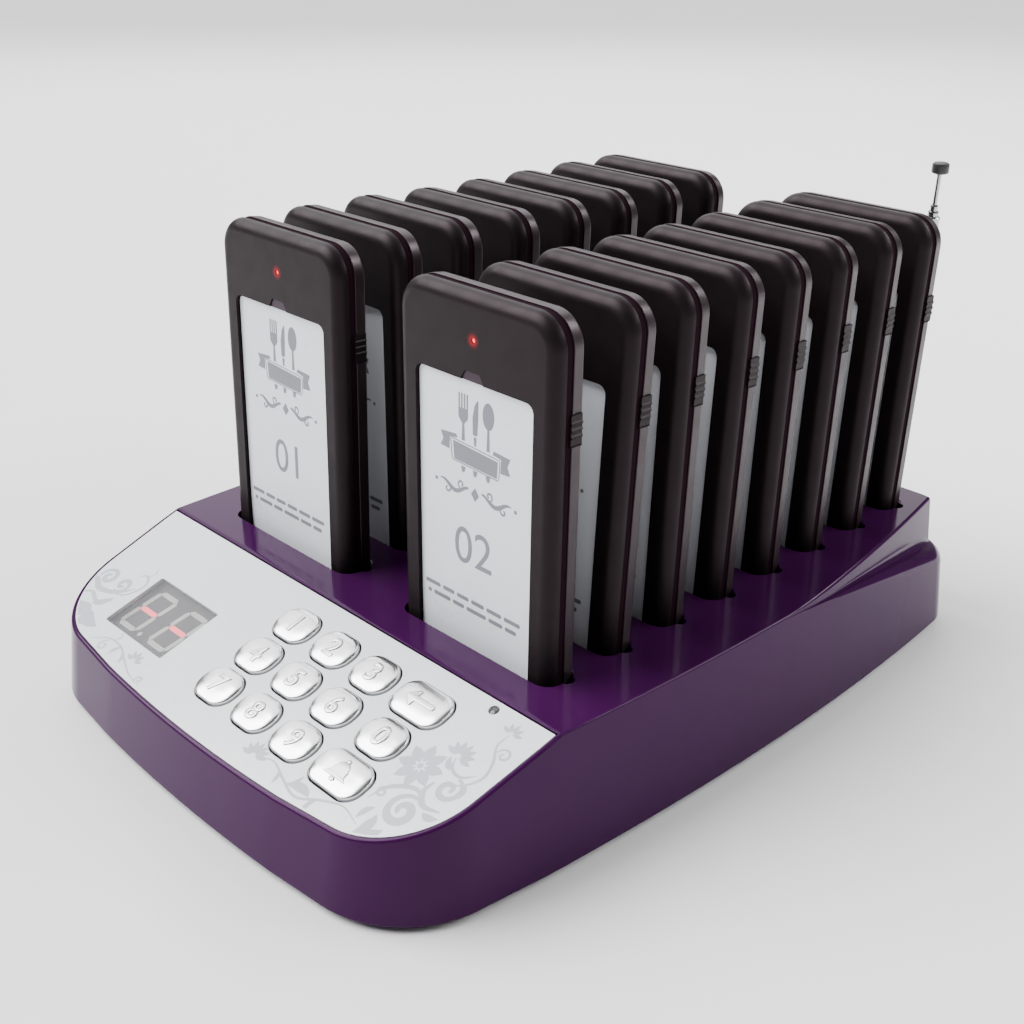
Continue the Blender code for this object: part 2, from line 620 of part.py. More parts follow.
# ---- Antenna ----
def make_antenna(root, housing):
    pivot = (ANTENNA_X, ANTENNA_Y, ANTENNA_Z)
    hole = lay_back(cylinder(BUSH_RADIUS + GAP, -14.0, 0.0, 12))
    boolean(housing, add("antenna_hole", hole, root, None, pivot))
    wall_y = TOP_REAR_Y + (SKIRT_REAR_Y - TOP_REAR_Y) * -ANTENNA_Z / SKIRT_DEPTH
    flange = wall_y + 0.7 - ANTENNA_Y
    bush = lay_back(cylinder(BUSH_RADIUS, -11.0, flange + 0.5, 12))
    mount = add("antenna_mount", bush, root, STEEL, pivot)
    washer = lay_back(cylinder(WASHER_RADIUS, flange, flange + WASHER_THICKNESS, 16))
    boolean(mount, add("washer", washer, root, None, pivot), "UNION")

    axis = empty("antenna_axis", root, pivot, (0.0, ANTENNA_LEAN, 0.0))
    disc = lay_back(cylinder(DISC_RADIUS, flange + WASHER_THICKNESS + GAP, DISC_FACE, 12))
    swivel = add("antenna_swivel", disc, axis, STEEL)
    inner = TONGUE_THICKNESS / 2 + GAP
    for side in (1, -1):
        near = DISC_FACE - 0.5
        ear = prism(rounded([(near, -EAR_RADIUS, 0), (EAR_RADIUS, -EAR_RADIUS, 3.3),
                             (EAR_RADIUS, EAR_RADIUS, 3.3), (near, EAR_RADIUS, 0)]),
                    inner, inner + EAR_THICKNESS)
        bmesh.ops.rotate(ear, verts=ear.verts, matrix=Matrix.Rotation(math.pi / 2, 3, "Z"))
        bmesh.ops.rotate(ear, verts=ear.verts, matrix=Matrix.Rotation(math.pi / 2, 3, "Y"))
        if side < 0:
            bmesh.ops.rotate(ear, verts=ear.verts, matrix=Matrix.Rotation(math.pi, 3, "Y"))
        boolean(swivel, add("ear", ear, axis), "UNION")
    boolean(swivel, add("pin_hole", lay_across(cylinder(PIN_RADIUS + GAP, -5, 5, 12)), axis))

    name, bore, radius, low, high = TUBES[0]
    tongue = rectangle(-TONGUE_RADIUS, TUBE_START + 0.6, -TONGUE_RADIUS, TONGUE_RADIUS,
                       TONGUE_RADIUS - 0.1)
    bm = prism(tongue, -TONGUE_THICKNESS / 2, TONGUE_THICKNESS / 2)
    bmesh.ops.rotate(bm, verts=bm.verts, matrix=Matrix.Rotation(-math.pi / 2, 3, "Y"))
    tube = add(name, bm, axis, STEEL)
    boolean(tube, add("outer_pipe", pipe(bore, radius, low, high, low + TUBE_PLUG), axis), "UNION")
    boolean(tube, add("pin", lay_across(cylinder(PIN_RADIUS, -2.9, 2.9, 12)), axis), "UNION")
    for name, bore, radius, low, high in TUBES[1:]:
        add(name, pipe(bore, radius, low, high), axis, STEEL)
    rod = add("antenna_rod", cylinder(ROD_RADIUS, *ROD_SPAN, 10), axis, STEEL)
    low = ROD_SPAN[1] - TIP_OVERLAP
    tip = cylinder(TIP_RADIUS, low, low + TIP_LENGTH, 14)
    round_rim(tip, low + TIP_LENGTH, 0.6, 1)
    boolean(rod, add("tip", tip, axis), "UNION")


# ---- Pagers ----
def pager_outline(inset=0.0, segments=4):
    half = PAGER_WIDTH / 2 - inset
    low = PAGER_SEAT + inset
    high = PAGER_SEAT + PAGER_HEIGHT - inset
    top = PAGER_TOP_CORNER - inset
    foot = PAGER_FOOT_CORNER - inset
    return rounded([(-half, low, foot), (half, low, foot), (half, high, top),
                    (-half, high, top)], segments)


def solid_pager_mesh():
    bm = prism(pager_outline(), -PAGER_REAR, PAGER_FRONT)
    round_rim(bm, PAGER_FRONT, FRONT_EDGE)
    round_rim(bm, -PAGER_REAR, REAR_EDGE, 1)
    return stand_up(bm)


def make_open_pager(root, x, y, lean, lift):
    """The front right pager, with its shells and the parts inside as separate pieces."""
    axis = empty("pager_02", root, (x, y, lift), (-lean, 0.0, 0.0))
    bm = round_rim(prism(pager_outline(), -SEAM_Y, PAGER_FRONT), PAGER_FRONT, FRONT_EDGE)
    front = add("pager_02_front_shell", stand_up(bm), axis, BLACK)
    cavity = prism(pager_outline(SHELL_WALL), -SEAM_Y - 1.0, PAGER_FRONT - SHELL_WALL)
    boolean(front, add("front_cavity", stand_up(cavity), axis))
    label_low = LABEL_TOP - LABEL_LENGTH
    half = LABEL_WIDTH / 2
    recess = prism(rectangle(-half - 0.2, half + 0.2, label_low - 0.2, LABEL_TOP + 0.2, 1.8),
                   PAGER_FRONT - 0.6, PAGER_FRONT + 1.0)
    boolean(front, add("label_recess", stand_up(recess), axis))
    card = prism(rectangle(-half, half, label_low, LABEL_TOP, 1.6), PAGER_FRONT - 0.4,
                 PAGER_FRONT - 0.05)
    add("pager_02_label", stand_up(card), axis, PAPER)
    lamp_place = (0.0, 0.0, LAMP_Z)
    hole = stand_up(cylinder(1.6, 0.0, PAGER_FRONT + 1.0, 12))
    boolean(front, add("lamp_opening", hole, axis, None, lamp_place))
    board_front = PAGER_FRONT - SHELL_WALL - 0.8
    lamp = stand_up(cylinder(1.3, board_front + GAP, PAGER_FRONT - 0.1, 12))
    add("pager_02_lamp", lamp, axis, RED_LENS, lamp_place)

    bm = round_rim(prism(pager_outline(), -PAGER_REAR, -SEAM_Y - GAP), -PAGER_REAR, REAR_EDGE, 1)
    rear = add("pager_02_rear_shell", stand_up(bm), axis, BLACK)
    cavity = prism(pager_outline(SHELL_WALL), -PAGER_REAR + 1.1, SEAM_Y)
    boolean(rear, add("rear_cavity", stand_up(cavity), axis))

    board = prism(rectangle(-21.0, 21.0, -14.0, 78.0, 2.0), board_front - 1.0, board_front)
    add("pager_02_circuit_board", stand_up(board), axis, GREEN)
    back = board_front - 1.0 - GAP
    battery = prism(rectangle(-15.0, 15.0, 0.0, 38.0, 1.0, 2), -PAGER_REAR + 1.1 + GAP, back)
    add("pager_02_battery", stand_up(battery), axis, FOIL)
    motor = stand_up(cylinder(4.0, back - 3.0, back, 16))
    add("pager_02_buzz_motor", motor, axis, STEEL, (10.0, 0.0, 50.0))


def make_pagers(root):
    shared = None
    for number, x, y, lean, lift in pager_places():
        if number == 2:
            make_open_pager(root, x, y, lean, lift)
            continue
        name = "pager_%02d" % number
        if shared is None:
            pager = add(name, solid_pager_mesh(), root, BLACK, (x, y, lift), (-lean, 0.0, 0.0))
            shared = pager.data
            continue
        pager = bpy.data.objects.new(name, shared)
        PARTS.objects.link(pager)
        pager.parent = root
        pager.location = Vector((x, y, lift)) * MM
        pager.rotation_euler = (-lean, 0.0, 0.0)


def main():
    root = empty("paging_set", None, (0.0, -CENTRE_Y, DECK_HEIGHT))
    slope = empty("slope", root, (0.0, SLOPE_Y, 0.0), (SLOPE_ANGLE, 0.0, 0.0))
    housing = make_housing(root, slope)
    make_cover(root)
    plate = make_face(root, slope, housing)
    make_keys(slope, plate, housing)
    make_slots(root, housing)
    make_cradles(root)
    make_charge_board(root)
    make_jack(root, housing)
    make_antenna(root, housing)
    make_pagers(root)
    bpy.context.view_layer.update()


main()
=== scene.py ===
"""Looks of the guest paging set: a charging base with a keypad and sixteen pagers in its slots.

Shapes are drawn in millimetres, in the set's frame (x across, y back from the first pager row, z up
from the deck), in the slope's frame or in a pager's own frame. A matrix then places each piece in
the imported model's frame, in metres.
"""

import json
import math

import bmesh
import bpy
from mathutils import Matrix, Vector


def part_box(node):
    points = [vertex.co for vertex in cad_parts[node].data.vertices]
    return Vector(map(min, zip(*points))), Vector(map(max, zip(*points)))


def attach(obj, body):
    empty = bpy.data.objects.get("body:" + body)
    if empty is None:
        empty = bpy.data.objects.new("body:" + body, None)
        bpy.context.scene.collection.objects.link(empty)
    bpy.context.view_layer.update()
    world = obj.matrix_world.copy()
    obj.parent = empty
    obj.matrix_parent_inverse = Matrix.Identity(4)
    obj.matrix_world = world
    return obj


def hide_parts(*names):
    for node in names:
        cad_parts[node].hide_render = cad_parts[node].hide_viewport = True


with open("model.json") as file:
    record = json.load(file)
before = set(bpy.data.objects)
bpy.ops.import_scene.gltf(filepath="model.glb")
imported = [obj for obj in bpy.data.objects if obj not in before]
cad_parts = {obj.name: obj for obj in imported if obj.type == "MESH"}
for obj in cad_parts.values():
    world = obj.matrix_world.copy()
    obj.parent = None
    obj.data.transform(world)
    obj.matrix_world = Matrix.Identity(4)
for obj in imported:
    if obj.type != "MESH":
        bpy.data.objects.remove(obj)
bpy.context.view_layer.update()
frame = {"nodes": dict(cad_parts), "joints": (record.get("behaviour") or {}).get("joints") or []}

MM = 0.001
MERGE = 1e-4                # points closer than this are one
SLIVER = 4e-3               # edges shorter than this go after a cut
GLOW_FALLOFF = 2.5

# ---- Base, in millimetres, as in the CAD ----
SKIRT_DEPTH = 33.5
TOP_HALF_WIDTH = 79.2
SKIRT_HALF_WIDTH = 82.0
SIDE_PEAK_Y = 58.0
FRONT_SIDE_RADIUS = 950.0
REAR_SIDE_RADIUS = 800.0
TOP_FRONT_Y = -60.4
SKIRT_FRONT_Y = -65.1
FRONT_RADIUS = 535.0
TOP_REAR_Y = 151.0
SKIRT_REAR_Y = 153.0
TOP_CORNER = 23.0
SKIRT_CORNER = 27.0
REAR_CORNER = 13.0
WALL = 2.0
DECK_WALL = 2.4
GAP = 0.3
SLOPE_Y = -14.62
SLOPE_ANGLE = math.radians(18.02)
SLOPE_WALL = 3.0
RIM = 1.15
PLATE_THICKNESS = 1.0
PLATE_SETBACK = 1.15
PLATE_JOINT = 0.2           # gap round the plate, finer than the CAD's
RIDGE_ROUND = 0.5
EDGE_ROUND = 0.6            # of the housing's outer edges
SCOOP_START_Y = 50.0
SCOOP_WALL_Y = 56.0
SHELF_SLOPE = 0.055
SHELF_CURVE = 0.0008
DECK_WALL_BEND = 28.0
DECK_WALL_SLOPE = 0.1
SCOOP_DRAFT = 0.08
SHELF_ROUND = 4.6           # of the shelf's outer edge at the rear
DECK_CREST = 1.0            # of the deck's edge over the shelf

# ---- Pagers ----
ROWS = 8
SPLIT_PAGER = 2             # the one whose pieces are separate CAD nodes
COLUMN_X = 36.6
ROW_PITCH = 19.55
PAGER_WIDTH = 50.0
PAGER_HEIGHT = 105.0
PAGER_FRONT = 4.56
PAGER_REAR = 4.22
PAGER_SEAT = 83.56 - PAGER_HEIGHT
PAGER_TOP_CORNER = 7.9
PAGER_FOOT_CORNER = 5.0
FRONT_EDGE = 3.2
REAR_EDGE = 0.9
SHELL_WALL = 1.3
SEAM_Y = -1.2
GROOVE_WIDTH = 1.9
REAR_TAPER = 0.3
GROOVE_DEPTH = 0.32
FRONT_WALL = 1.8
RECESS_HALF = 18.8          # of the label's recess
RECESS_DEPTH = 1.25
NOTCH_DEPTH = 0.3           # of the thumb notch over the label
LABEL_TOP = 64.0
LABEL_LENGTH = 77.0
LAMP_X = 0.3
LAMP_Z = 73.4
LAMP_RADIUS = 0.6
SWITCH_LOW = 55.5
SWITCH_HIGH = 62.3
MEAN_LEAN = math.radians(1.53)
SLOT_CLEARANCE = 0.85

# ---- Keypad, display and lamp ----
KEY_CORNER = 4.4
KEY_HEIGHT = 1.15
KEY_SIDE = 0.35             # of it, below the crown
KEY_DEPTH = 3.6
KEY_CLEARANCE = 0.42
WIDE_KEY = 14.0             # a key wider than this is one of the two wide ones
CONTACT_X = 9.0             # of the two charging contacts, from a slot's middle
DIGIT_HEIGHT = 14.3         # of the 0.56 inch display
DIGIT_WIDTH = 8.9
DIGIT_PITCH = 13.9
DIGIT_SHIFT = -0.6          # of the two digits, from the module's middle
DIGIT_SLANT = math.radians(5.6)
SEGMENT_WIDTH = 1.45
SEGMENT_GAP = 0.14
DOT_RADIUS = 0.72
PRINT_DEPTH = 0.02          # of numbers and pictures
LEGEND_HEIGHT = 5.6         # of a number on a key
LEGEND_EDGE = 0.22          # thickness of a legend, sunk into its key
LEGEND_BOLD = 0.04
LABEL_NUMBER_HEIGHT = 9.2

# ---- Frames of the set, the slope and the antenna ----
HOUSING_LOW, HOUSING_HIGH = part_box("upper_housing")
SET = Matrix.Translation((0.0, HOUSING_LOW.y - SKIRT_FRONT_Y * MM, HOUSING_HIGH.z))
SLOPE = SET @ Matrix.Translation((0.0, SLOPE_Y * MM, 0.0)) @ Matrix.Rotation(SLOPE_ANGLE, 4, "X")
JOINTS = {joint["name"]: joint for joint in frame["joints"]}


# ---- Outlines: lists of (x, y) points, counter-clockwise ----
def fillet(before, corner, after, radius, segments):
    """Points of the arc that rounds a corner."""
    corner = Vector(corner)
    first = (Vector(before) - corner).normalized()
    second = (Vector(after) - corner).normalized()
    half = first.angle(second) / 2
    centre = corner + (first + second).normalized() * (radius / math.sin(half))
    start = corner + first * (radius / math.tan(half)) - centre
    sweep = math.pi - 2 * half
    turn = sweep if first.x * second.y - first.y * second.x < 0 else -sweep
    points = []
    for i in range(segments + 1):
        angle = turn * i / segments
        cos, sin = math.cos(angle), math.sin(angle)
        points.append((centre.x + start.x * cos - start.y * sin,
                       centre.y + start.x * sin + start.y * cos))
    return points


def rounded(corners, segments=8):
    """A closed outline from (x, y, radius) corners."""
    points = []
    for i, (x, y, radius) in enumerate(corners):
        if radius <= 0:
            points.append((x, y))
            continue
        before = corners[i - 1][:2]
        after = corners[(i + 1) % len(corners)][:2]
        points += fillet(before, (x, y), after, radius, segments)
    return points


def rectangle(x0, x1, y0, y1, radius=0.0, segments=8):
    return rounded([(x0, y0, radius), (x1, y0, radius), (x1, y1, radius), (x0, y1, radius)],
                   segments)


def framed(low, high, grow, radius):
    """The plan of a box, grown on every side."""
    return rectangle(low.x - grow, high.x + grow, low.y - grow, high.y + grow, radius)


def ellipse(x, y, half_width, half_height, segments=28):
    turns = [math.tau * i / segments for i in range(segments)]
    return [(x + half_width * math.cos(t), y + half_height * math.sin(t)) for t in turns]


def mirrored(right_side):
    """Close a right-hand run of points, front to rear, with its mirror image."""
    return right_side + [(-x, y) for x, y in reversed(right_side) if x > 0]


# ---- Meshes in millimetres ----
def prism(outline, low, high):
    bm = bmesh.new()
    face = bm.faces.new([bm.verts.new((x, y, low)) for x, y in outline])
    grown = bmesh.ops.extrude_face_region(bm, geom=[face])["geom"]
    top = [v for v in grown if isinstance(v, bmesh.types.BMVert)]
    bmesh.ops.translate(bm, verts=top, vec=(0.0, 0.0, high - low))
    bmesh.ops.recalc_face_normals(bm, faces=bm.faces)
    return bm


def loft(sections):
    """A closed skin over sections that are lists of 3-D points, all of one length."""
    bm = bmesh.new()
    rings = [[bm.verts.new(point) for point in section] for section in sections]
    for near, far in zip(rings, rings[1:]):
        for i in range(len(near)):
            j = (i + 1) % len(near)
            bm.faces.new((near[i], near[j], far[j], far[i]))
    bm.faces.new(rings[0])
    bm.faces.new(rings[-1])
    bmesh.ops.recalc_face_normals(bm, faces=bm.faces)
    return bm


def lathe(profile, segments=40):
    """A solid turned about z from (radius, height) points; it closes on the axis or on itself."""
    bm = bmesh.new()
    verts = [bm.verts.new((r, 0.0, z)) for r, z in profile]
    edges = [bm.edges.new(pair) for pair in zip(verts, verts[1:])]
    bmesh.ops.spin(bm, geom=verts + edges, cent=(0.0, 0.0, 0.0), axis=(0.0, 0.0, 1.0),
                   angle=math.tau, steps=segments, use_duplicate=False)
    bmesh.ops.remove_doubles(bm, verts=bm.verts, dist=MERGE)
    bmesh.ops.recalc_face_normals(bm, faces=bm.faces)
    return bm


def round_ends(radius, low, high, edge, segments=4):
    """Profile of a solid rod whose two rims are rounded."""
    steps = [math.pi / 2 * i / segments for i in range(segments + 1)]
    foot = [(radius - edge + edge * math.sin(t), low + edge - edge * math.cos(t)) for t in steps]
    head = [(radius - edge + edge * math.cos(t), high - edge + edge * math.sin(t)) for t in steps]
    return [(0.0, low)] + foot + head + [(0.0, high)]


def turned(bm, degrees, axis):
    bmesh.ops.rotate(bm, verts=bm.verts, matrix=Matrix.Rotation(math.radians(degrees), 3, axis))
    return bm


def stand_up(bm):
    """Turn a solid drawn up from the z plane so that its top faces forward, along -y."""
    return turned(bm, 90, "X")


def lay_back(bm):
    """Turn a solid along z so that it lies along y."""
    return turned(bm, -90, "X")


def sideways(bm):
    """Swap the axes so that x, y and z become y, z and x."""
    bmesh.ops.rotate(bm, verts=bm.verts, matrix=Matrix(((0, 0, 1), (1, 0, 0), (0, 1, 0))))
    return bm


def moved(bm, x, y, z=0.0):
    bmesh.ops.translate(bm, verts=bm.verts, vec=(x, y, z))
    return bm


def joined(*meshes):
    """One mesh out of several; a face's material index is kept."""
    whole = bmesh.new()
    for bm in meshes:
        data = bpy.data.meshes.new("part")
        bm.to_mesh(data)
        bm.free()
        whole.from_mesh(data)
        bpy.data.meshes.remove(data)
    return whole


def painted(bm, index):
    for face in bm.faces:
        face.material_index = index
    return bm


def soften(bm, offset, segments=3, angle=40):
    """Round every edge sharper than an angle."""
    sharp = [e for e in bm.edges if e.is_manifold and e.calc_face_angle() > math.radians(angle)]
    bmesh.ops.bevel(bm, geom=sharp, offset=offset, segments=segments, profile=0.5,
                    affect="EDGES", clamp_overlap=True)
    return bm


def boolean(bm, other, operation="DIFFERENCE"):
    """The first mesh cut by the second or joined to it; both are used up."""
    objects = []
    for mesh in (bm, other):
        data = bpy.data.meshes.new("operand")
        mesh.to_mesh(data)
        mesh.free()
        obj = bpy.data.objects.new("operand", data)
        bpy.context.scene.collection.objects.link(obj)
        objects.append(obj)
    modifier = objects[0].modifiers.new("boolean", "BOOLEAN")
    modifier.object = objects[1]
    modifier.operation = operation
    modifier.solver = "EXACT"
    result = bmesh.new()
    result.from_object(objects[0], bpy.context.evaluated_depsgraph_get())
    for obj in objects:
        bpy.data.meshes.remove(obj.data)
    bmesh.ops.remove_doubles(result, verts=result.verts, dist=MERGE)
    bmesh.ops.dissolve_degenerate(result, dist=SLIVER, edges=result.edges)
    return result


def mesh_of(bm, name, *materials, angle=32.0):
    """A mesh in metres, shaded smooth but for edges sharper than an angle."""
    bmesh.ops.scale(bm, vec=(MM, MM, MM), verts=bm.verts)
    mesh = bpy.data.meshes.new(name)
    bm.to_mesh(mesh)
    bm.free()
    for material in materials:
        mesh.materials.append(material)
    mesh.shade_smooth()
    mesh.set_sharp_from_angle(angle=math.radians(angle))
    return mesh


def piece(name, shape, matrix, body, slot, *nodes):
    """Place a mesh, or (solid, materials), as a piece of a body that stands for CAD nodes."""
    mesh = shape if isinstance(shape, bpy.types.Mesh) else mesh_of(shape[0], name, *shape[1:])
    obj = bpy.data.objects.new(name, mesh)
    bpy.context.scene.collection.objects.link(obj)
    obj.matrix_world = matrix
    modifier = obj.modifiers.new("weighted_normal", "WEIGHTED_NORMAL")
    modifier.keep_sharp = True
    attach(obj, body)
    if nodes:
        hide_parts(*nodes)
    return obj


# ---- Materials ----
def add(tree, kind, **values):
    """A new shader node with its inputs set."""
    node = tree.nodes.new("ShaderNode" + kind)
    for name, value in values.items():
        node.inputs[name.replace("_", " ")].default_value = value
    return node


def surface(name, color, roughness, grain=0.3, depth=0.004, vary=0.05, shade=0.05,
            stretch=(1.0, 1.0, 1.0), **settings):
    """A material whose colour, gloss and relief vary; grain and depth are in millimetres."""
    material = bpy.data.materials.new(name)
    material.use_nodes = True
    tree = material.node_tree
    link = tree.links.new
    shader = tree.nodes["Principled BSDF"]
    for socket, value in settings.items():
        shader.inputs[socket.replace("_", " ")].default_value = value
    mapping = add(tree, "Mapping", Scale=stretch)
    link(add(tree, "TexCoord").outputs["Object"], mapping.inputs["Vector"])

    def noise(size, detail):
        node = add(tree, "TexNoise", Scale=1.0 / (size * MM), Detail=detail)
        link(mapping.outputs["Vector"], node.inputs["Vector"])
        return node.outputs["Fac"]

    bump = add(tree, "Bump", Distance=depth * MM, Strength=1.0)
    link(noise(grain, 3.0), bump.inputs["Height"])
    link(bump.outputs["Normal"], shader.inputs["Normal"])
    spread = add(tree, "MapRange", From_Min=0.3, From_Max=0.7,
                 To_Min=max(0.02, roughness - vary), To_Max=roughness + vary)
    link(noise(grain * 40, 4.0), spread.inputs["Value"])
    link(spread.outputs["Result"], shader.inputs["Roughness"])
    tint = add(tree, "ValToRGB")
    for stop, place, sign in zip(tint.color_ramp.elements, (0.3, 0.7), (-1, 1)):
        stop.position = place
        stop.color = (*[min(1.0, c * (1 + sign * shade)) for c in color], 1.0)
    link(noise(grain * 25, 2.0), tint.inputs["Fac"])
    link(tint.outputs["Color"], shader.inputs["Base Color"])
    return material


def glowing(material, centre, radius, color, strength):
    """Add light that fades out over a radius from a point, in millimetres in the piece's frame."""
    tree = material.node_tree
    link = tree.links.new
    shader = tree.nodes["Principled BSDF"]
    reach = add(tree, "VectorMath")
    reach.operation = "DISTANCE"
    reach.inputs[1].default_value = Vector(centre) * MM
    link(add(tree, "TexCoord").outputs["Object"], reach.inputs[0])
    fade = add(tree, "MapRange", From_Min=0.0, From_Max=radius * MM, To_Min=1.0, To_Max=0.0)
    fade.interpolation_type = "SMOOTHERSTEP"
    link(reach.outputs["Value"], fade.inputs["Value"])
    value = fade.outputs["Result"]
    for operation, number in (("POWER", GLOW_FALLOFF), ("MULTIPLY", strength)):
        node = add(tree, "Math")
        node.operation = operation
        node.inputs[1].default_value = number
        link(value, node.inputs[0])
        value = node.outputs["Value"]
    link(value, shader.inputs["Emission Strength"])
    shader.inputs["Emission Color"].default_value = (*color, 1.0)
    return material


LAVENDER = (1.0, 0.74, 1.0, 1.0)
MAUVE = (1.0, 0.78, 0.87, 1.0)
PURPLE = surface("purple_abs", (0.034, 0.0038, 0.042), 0.14, 0.8, 0.0012, 0.03, 0.05,
                 Specular_IOR_Level=0.12, Specular_Tint=LAVENDER)
# The pager shell's material carries a painted red glow round the pager's lamp: emission on the
# shell itself that fades out over 3 mm from the lamp's middle.
SHELL_WITH_PAINTED_GLOW = glowing(surface("pager_shell", (0.0088, 0.0062, 0.0068), 0.42, 0.12, 0.004, 0.05, 0.08,
                        Specular_IOR_Level=0.14, Specular_Tint=MAUVE),
                (LAMP_X, -PAGER_FRONT, LAMP_Z), 3.0, (1.0, 0.012, 0.022), 0.55)
# A lighter, glossier copy of the shell plastic for the rear shell: a painted sheen standing in for
# the backlight that the band catches.
BAND_WITH_PAINTED_SHEEN = surface("pager_band", (0.014, 0.009, 0.011), 0.36, 0.12, 0.004, 0.05, 0.08,
               Specular_IOR_Level=0.3, Specular_Tint=MAUVE)
# For the seam's groove and the slab under the side switch: a dark joint, made near black and almost
# without reflection so that it reads as painted shade.
GROOVE_PAINTED_SHADE = surface("pager_groove", (0.012, 0.004, 0.008), 0.7, 0.2, 0.002, Specular_IOR_Level=0.02)
NOTCH = surface("pager_notch", (0.022, 0.0045, 0.018), 0.4, 0.2, 0.002, Specular_IOR_Level=0.3)
GOLD = surface("contact_gold", (0.80, 0.55, 0.20), 0.25, 0.2, 0.002, Metallic=1.0)
PLATE = surface("printed_plate", (0.79, 0.815, 0.85), 0.28, 0.35, 0.0012, 0.04, 0.012,
                Coat_Weight=0.4, Coat_Roughness=0.12)
INK = surface("plate_ink", (0.43, 0.45, 0.50), 0.34, 0.3, 0.001, 0.04, 0.04)
CARD = surface("label_card", (0.80, 0.83, 0.875), 0.3, 0.4, 0.0015, 0.05, 0.015,
               Coat_Weight=0.5, Coat_Roughness=0.15)
CARD_INK = surface("label_ink", (0.19, 0.195, 0.225), 0.4, 0.3, 0.001, 0.04, 0.04)
SILVER = surface("silver_key", (0.86, 0.86, 0.87), 0.2, 0.25, 0.003, 0.05, 0.03, Metallic=1.0)
# A darker copy of the keys' silver for the raised numbers and pictures: painted shade, since they
# are the same metal as the caps.
LEGEND_PAINTED_SHADE = surface("key_legend_painted_shade", (0.60, 0.60, 0.62), 0.3, 0.25, 0.003, 0.05, 0.03, Metallic=1.0)
STEEL = surface("antenna_steel", (0.42, 0.42, 0.43), 0.2, 0.12, 0.003, 0.06, 0.05,
                (8.0, 8.0, 0.4), Metallic=1.0)
CHARCOAL = surface("antenna_cap", (0.02, 0.02, 0.022), 0.4, 0.2, 0.004)
BLACK = surface("black_abs", (0.02, 0.017, 0.019), 0.5, 0.35, 0.02, 0.06, 0.1)
MODULE = surface("display_body", (0.06, 0.06, 0.063), 0.5, 0.25, 0.004)
SEGMENT = surface("display_segment", (0.80, 0.78, 0.72), 0.45, 0.25, 0.002)
LIT = surface("display_lit", (0.9, 0.12, 0.15), 0.4, 0.25, 0.002,
              Emission_Color=(1.0, 0.08, 0.12, 1.0), Emission_Strength=3.0)
LENS = surface("display_lens", (0.36, 0.36, 0.38), 0.12, 0.5, 0.001, 0.02, 0.02, Alpha=0.22)
STATUS = surface("status_lamp", (0.05, 0.05, 0.055), 0.2, 0.3, 0.002)
RUBBER = surface("rubber", (0.025, 0.025, 0.026), 0.75, 0.3, 0.02, 0.08, 0.12)
SILICONE = surface("silicone", (0.5, 0.5, 0.51), 0.6, 0.4, 0.01)
BOARD = surface("circuit_board", (0.015, 0.10, 0.04), 0.35, 0.3, 0.006, 0.06, 0.2)
FOIL = surface("battery_foil", (0.5, 0.51, 0.53), 0.35, 0.8, 0.03, Metallic=0.7)
RED_LENS = glowing(surface("red_lamp", (0.9, 0.05, 0.06), 0.25, 0.3, 0.002),
                   (0.0, 0.0, 0.0), 2.0, (1.0, 0.09, 0.12), 2.6)


# ---- Shape of the base ----
def side_x(y, half_width):
    """Half width at y of a bowed side that is half_width at its widest."""
    radius = FRONT_SIDE_RADIUS if y < SIDE_PEAK_Y else REAR_SIDE_RADIUS
    return half_width - (y - SIDE_PEAK_Y) ** 2 / (2 * radius)


def base_outline(z, inset=0.0):
    """Plan outline of the housing at height z, drawn in by inset."""
    drop = -z / SKIRT_DEPTH
    half = TOP_HALF_WIDTH + (SKIRT_HALF_WIDTH - TOP_HALF_WIDTH) * drop - inset
    front = TOP_FRONT_Y + (SKIRT_FRONT_Y - TOP_FRONT_Y) * drop + inset
    rear = TOP_REAR_Y + (SKIRT_REAR_Y - TOP_REAR_Y) * drop - inset
    front_corner = TOP_CORNER + (SKIRT_CORNER - TOP_CORNER) * drop - inset
    corner_x = side_x(front, half)
    corner_y = front + corner_x ** 2 / (2 * FRONT_RADIUS)
    right = [(x, front + x ** 2 / (2 * FRONT_RADIUS)) for x in range(0, 40, 4)]
    right += fillet(right[-1], (corner_x, corner_y), (side_x(-20.0, half), -20.0),
                    front_corner, 28)
    stations = [-20.0] + [SLOPE_Y + 6.0 * i for i in range(26)]
    right += [(side_x(y, half), y) for y in stations]
    right += fillet(right[-1], (side_x(rear, half), rear), (0.0, rear), REAR_CORNER - inset, 14)
    return mirrored(right)


def base_form(inset, low, top, drop):
    """The solid inside the housing's outline and under its slope."""
    bm = loft([[(x, y, z) for x, y in base_outline(z, inset)] for z in (low, top)])
    normal = Vector((0.0, -math.sin(SLOPE_ANGLE), math.cos(SLOPE_ANGLE)))
    cut = bmesh.ops.bisect_plane(bm, geom=bm.verts[:] + bm.edges[:] + bm.faces[:], dist=MERGE,
                                 plane_co=Vector((0.0, SLOPE_Y, 0.0)) - normal * drop,
                                 plane_no=normal, clear_outer=True)["geom_cut"]
    bmesh.ops.contextual_create(bm, geom=[e for e in cut if isinstance(e, bmesh.types.BMEdge)])
    bmesh.ops.recalc_face_normals(bm, faces=bm.faces)
    return bm


def deck_wall_x(y):
    """Half width of the deck beside the scoops."""
    run = max(0.0, y - SCOOP_WALL_Y)
    bend = min(run, DECK_WALL_BEND)
    inward = DECK_WALL_SLOPE * bend ** 2 / (2 * DECK_WALL_BEND)
    inward += DECK_WALL_SLOPE * max(0.0, run - DECK_WALL_BEND)
    return side_x(y, TOP_HALF_WIDTH) - inward


def shelf_z(y):
    """Height of the shelf outside the deck wall."""
    run = max(0.0, y - SCOOP_START_Y)
    return -SHELF_SLOPE * run - SHELF_CURVE * run ** 2


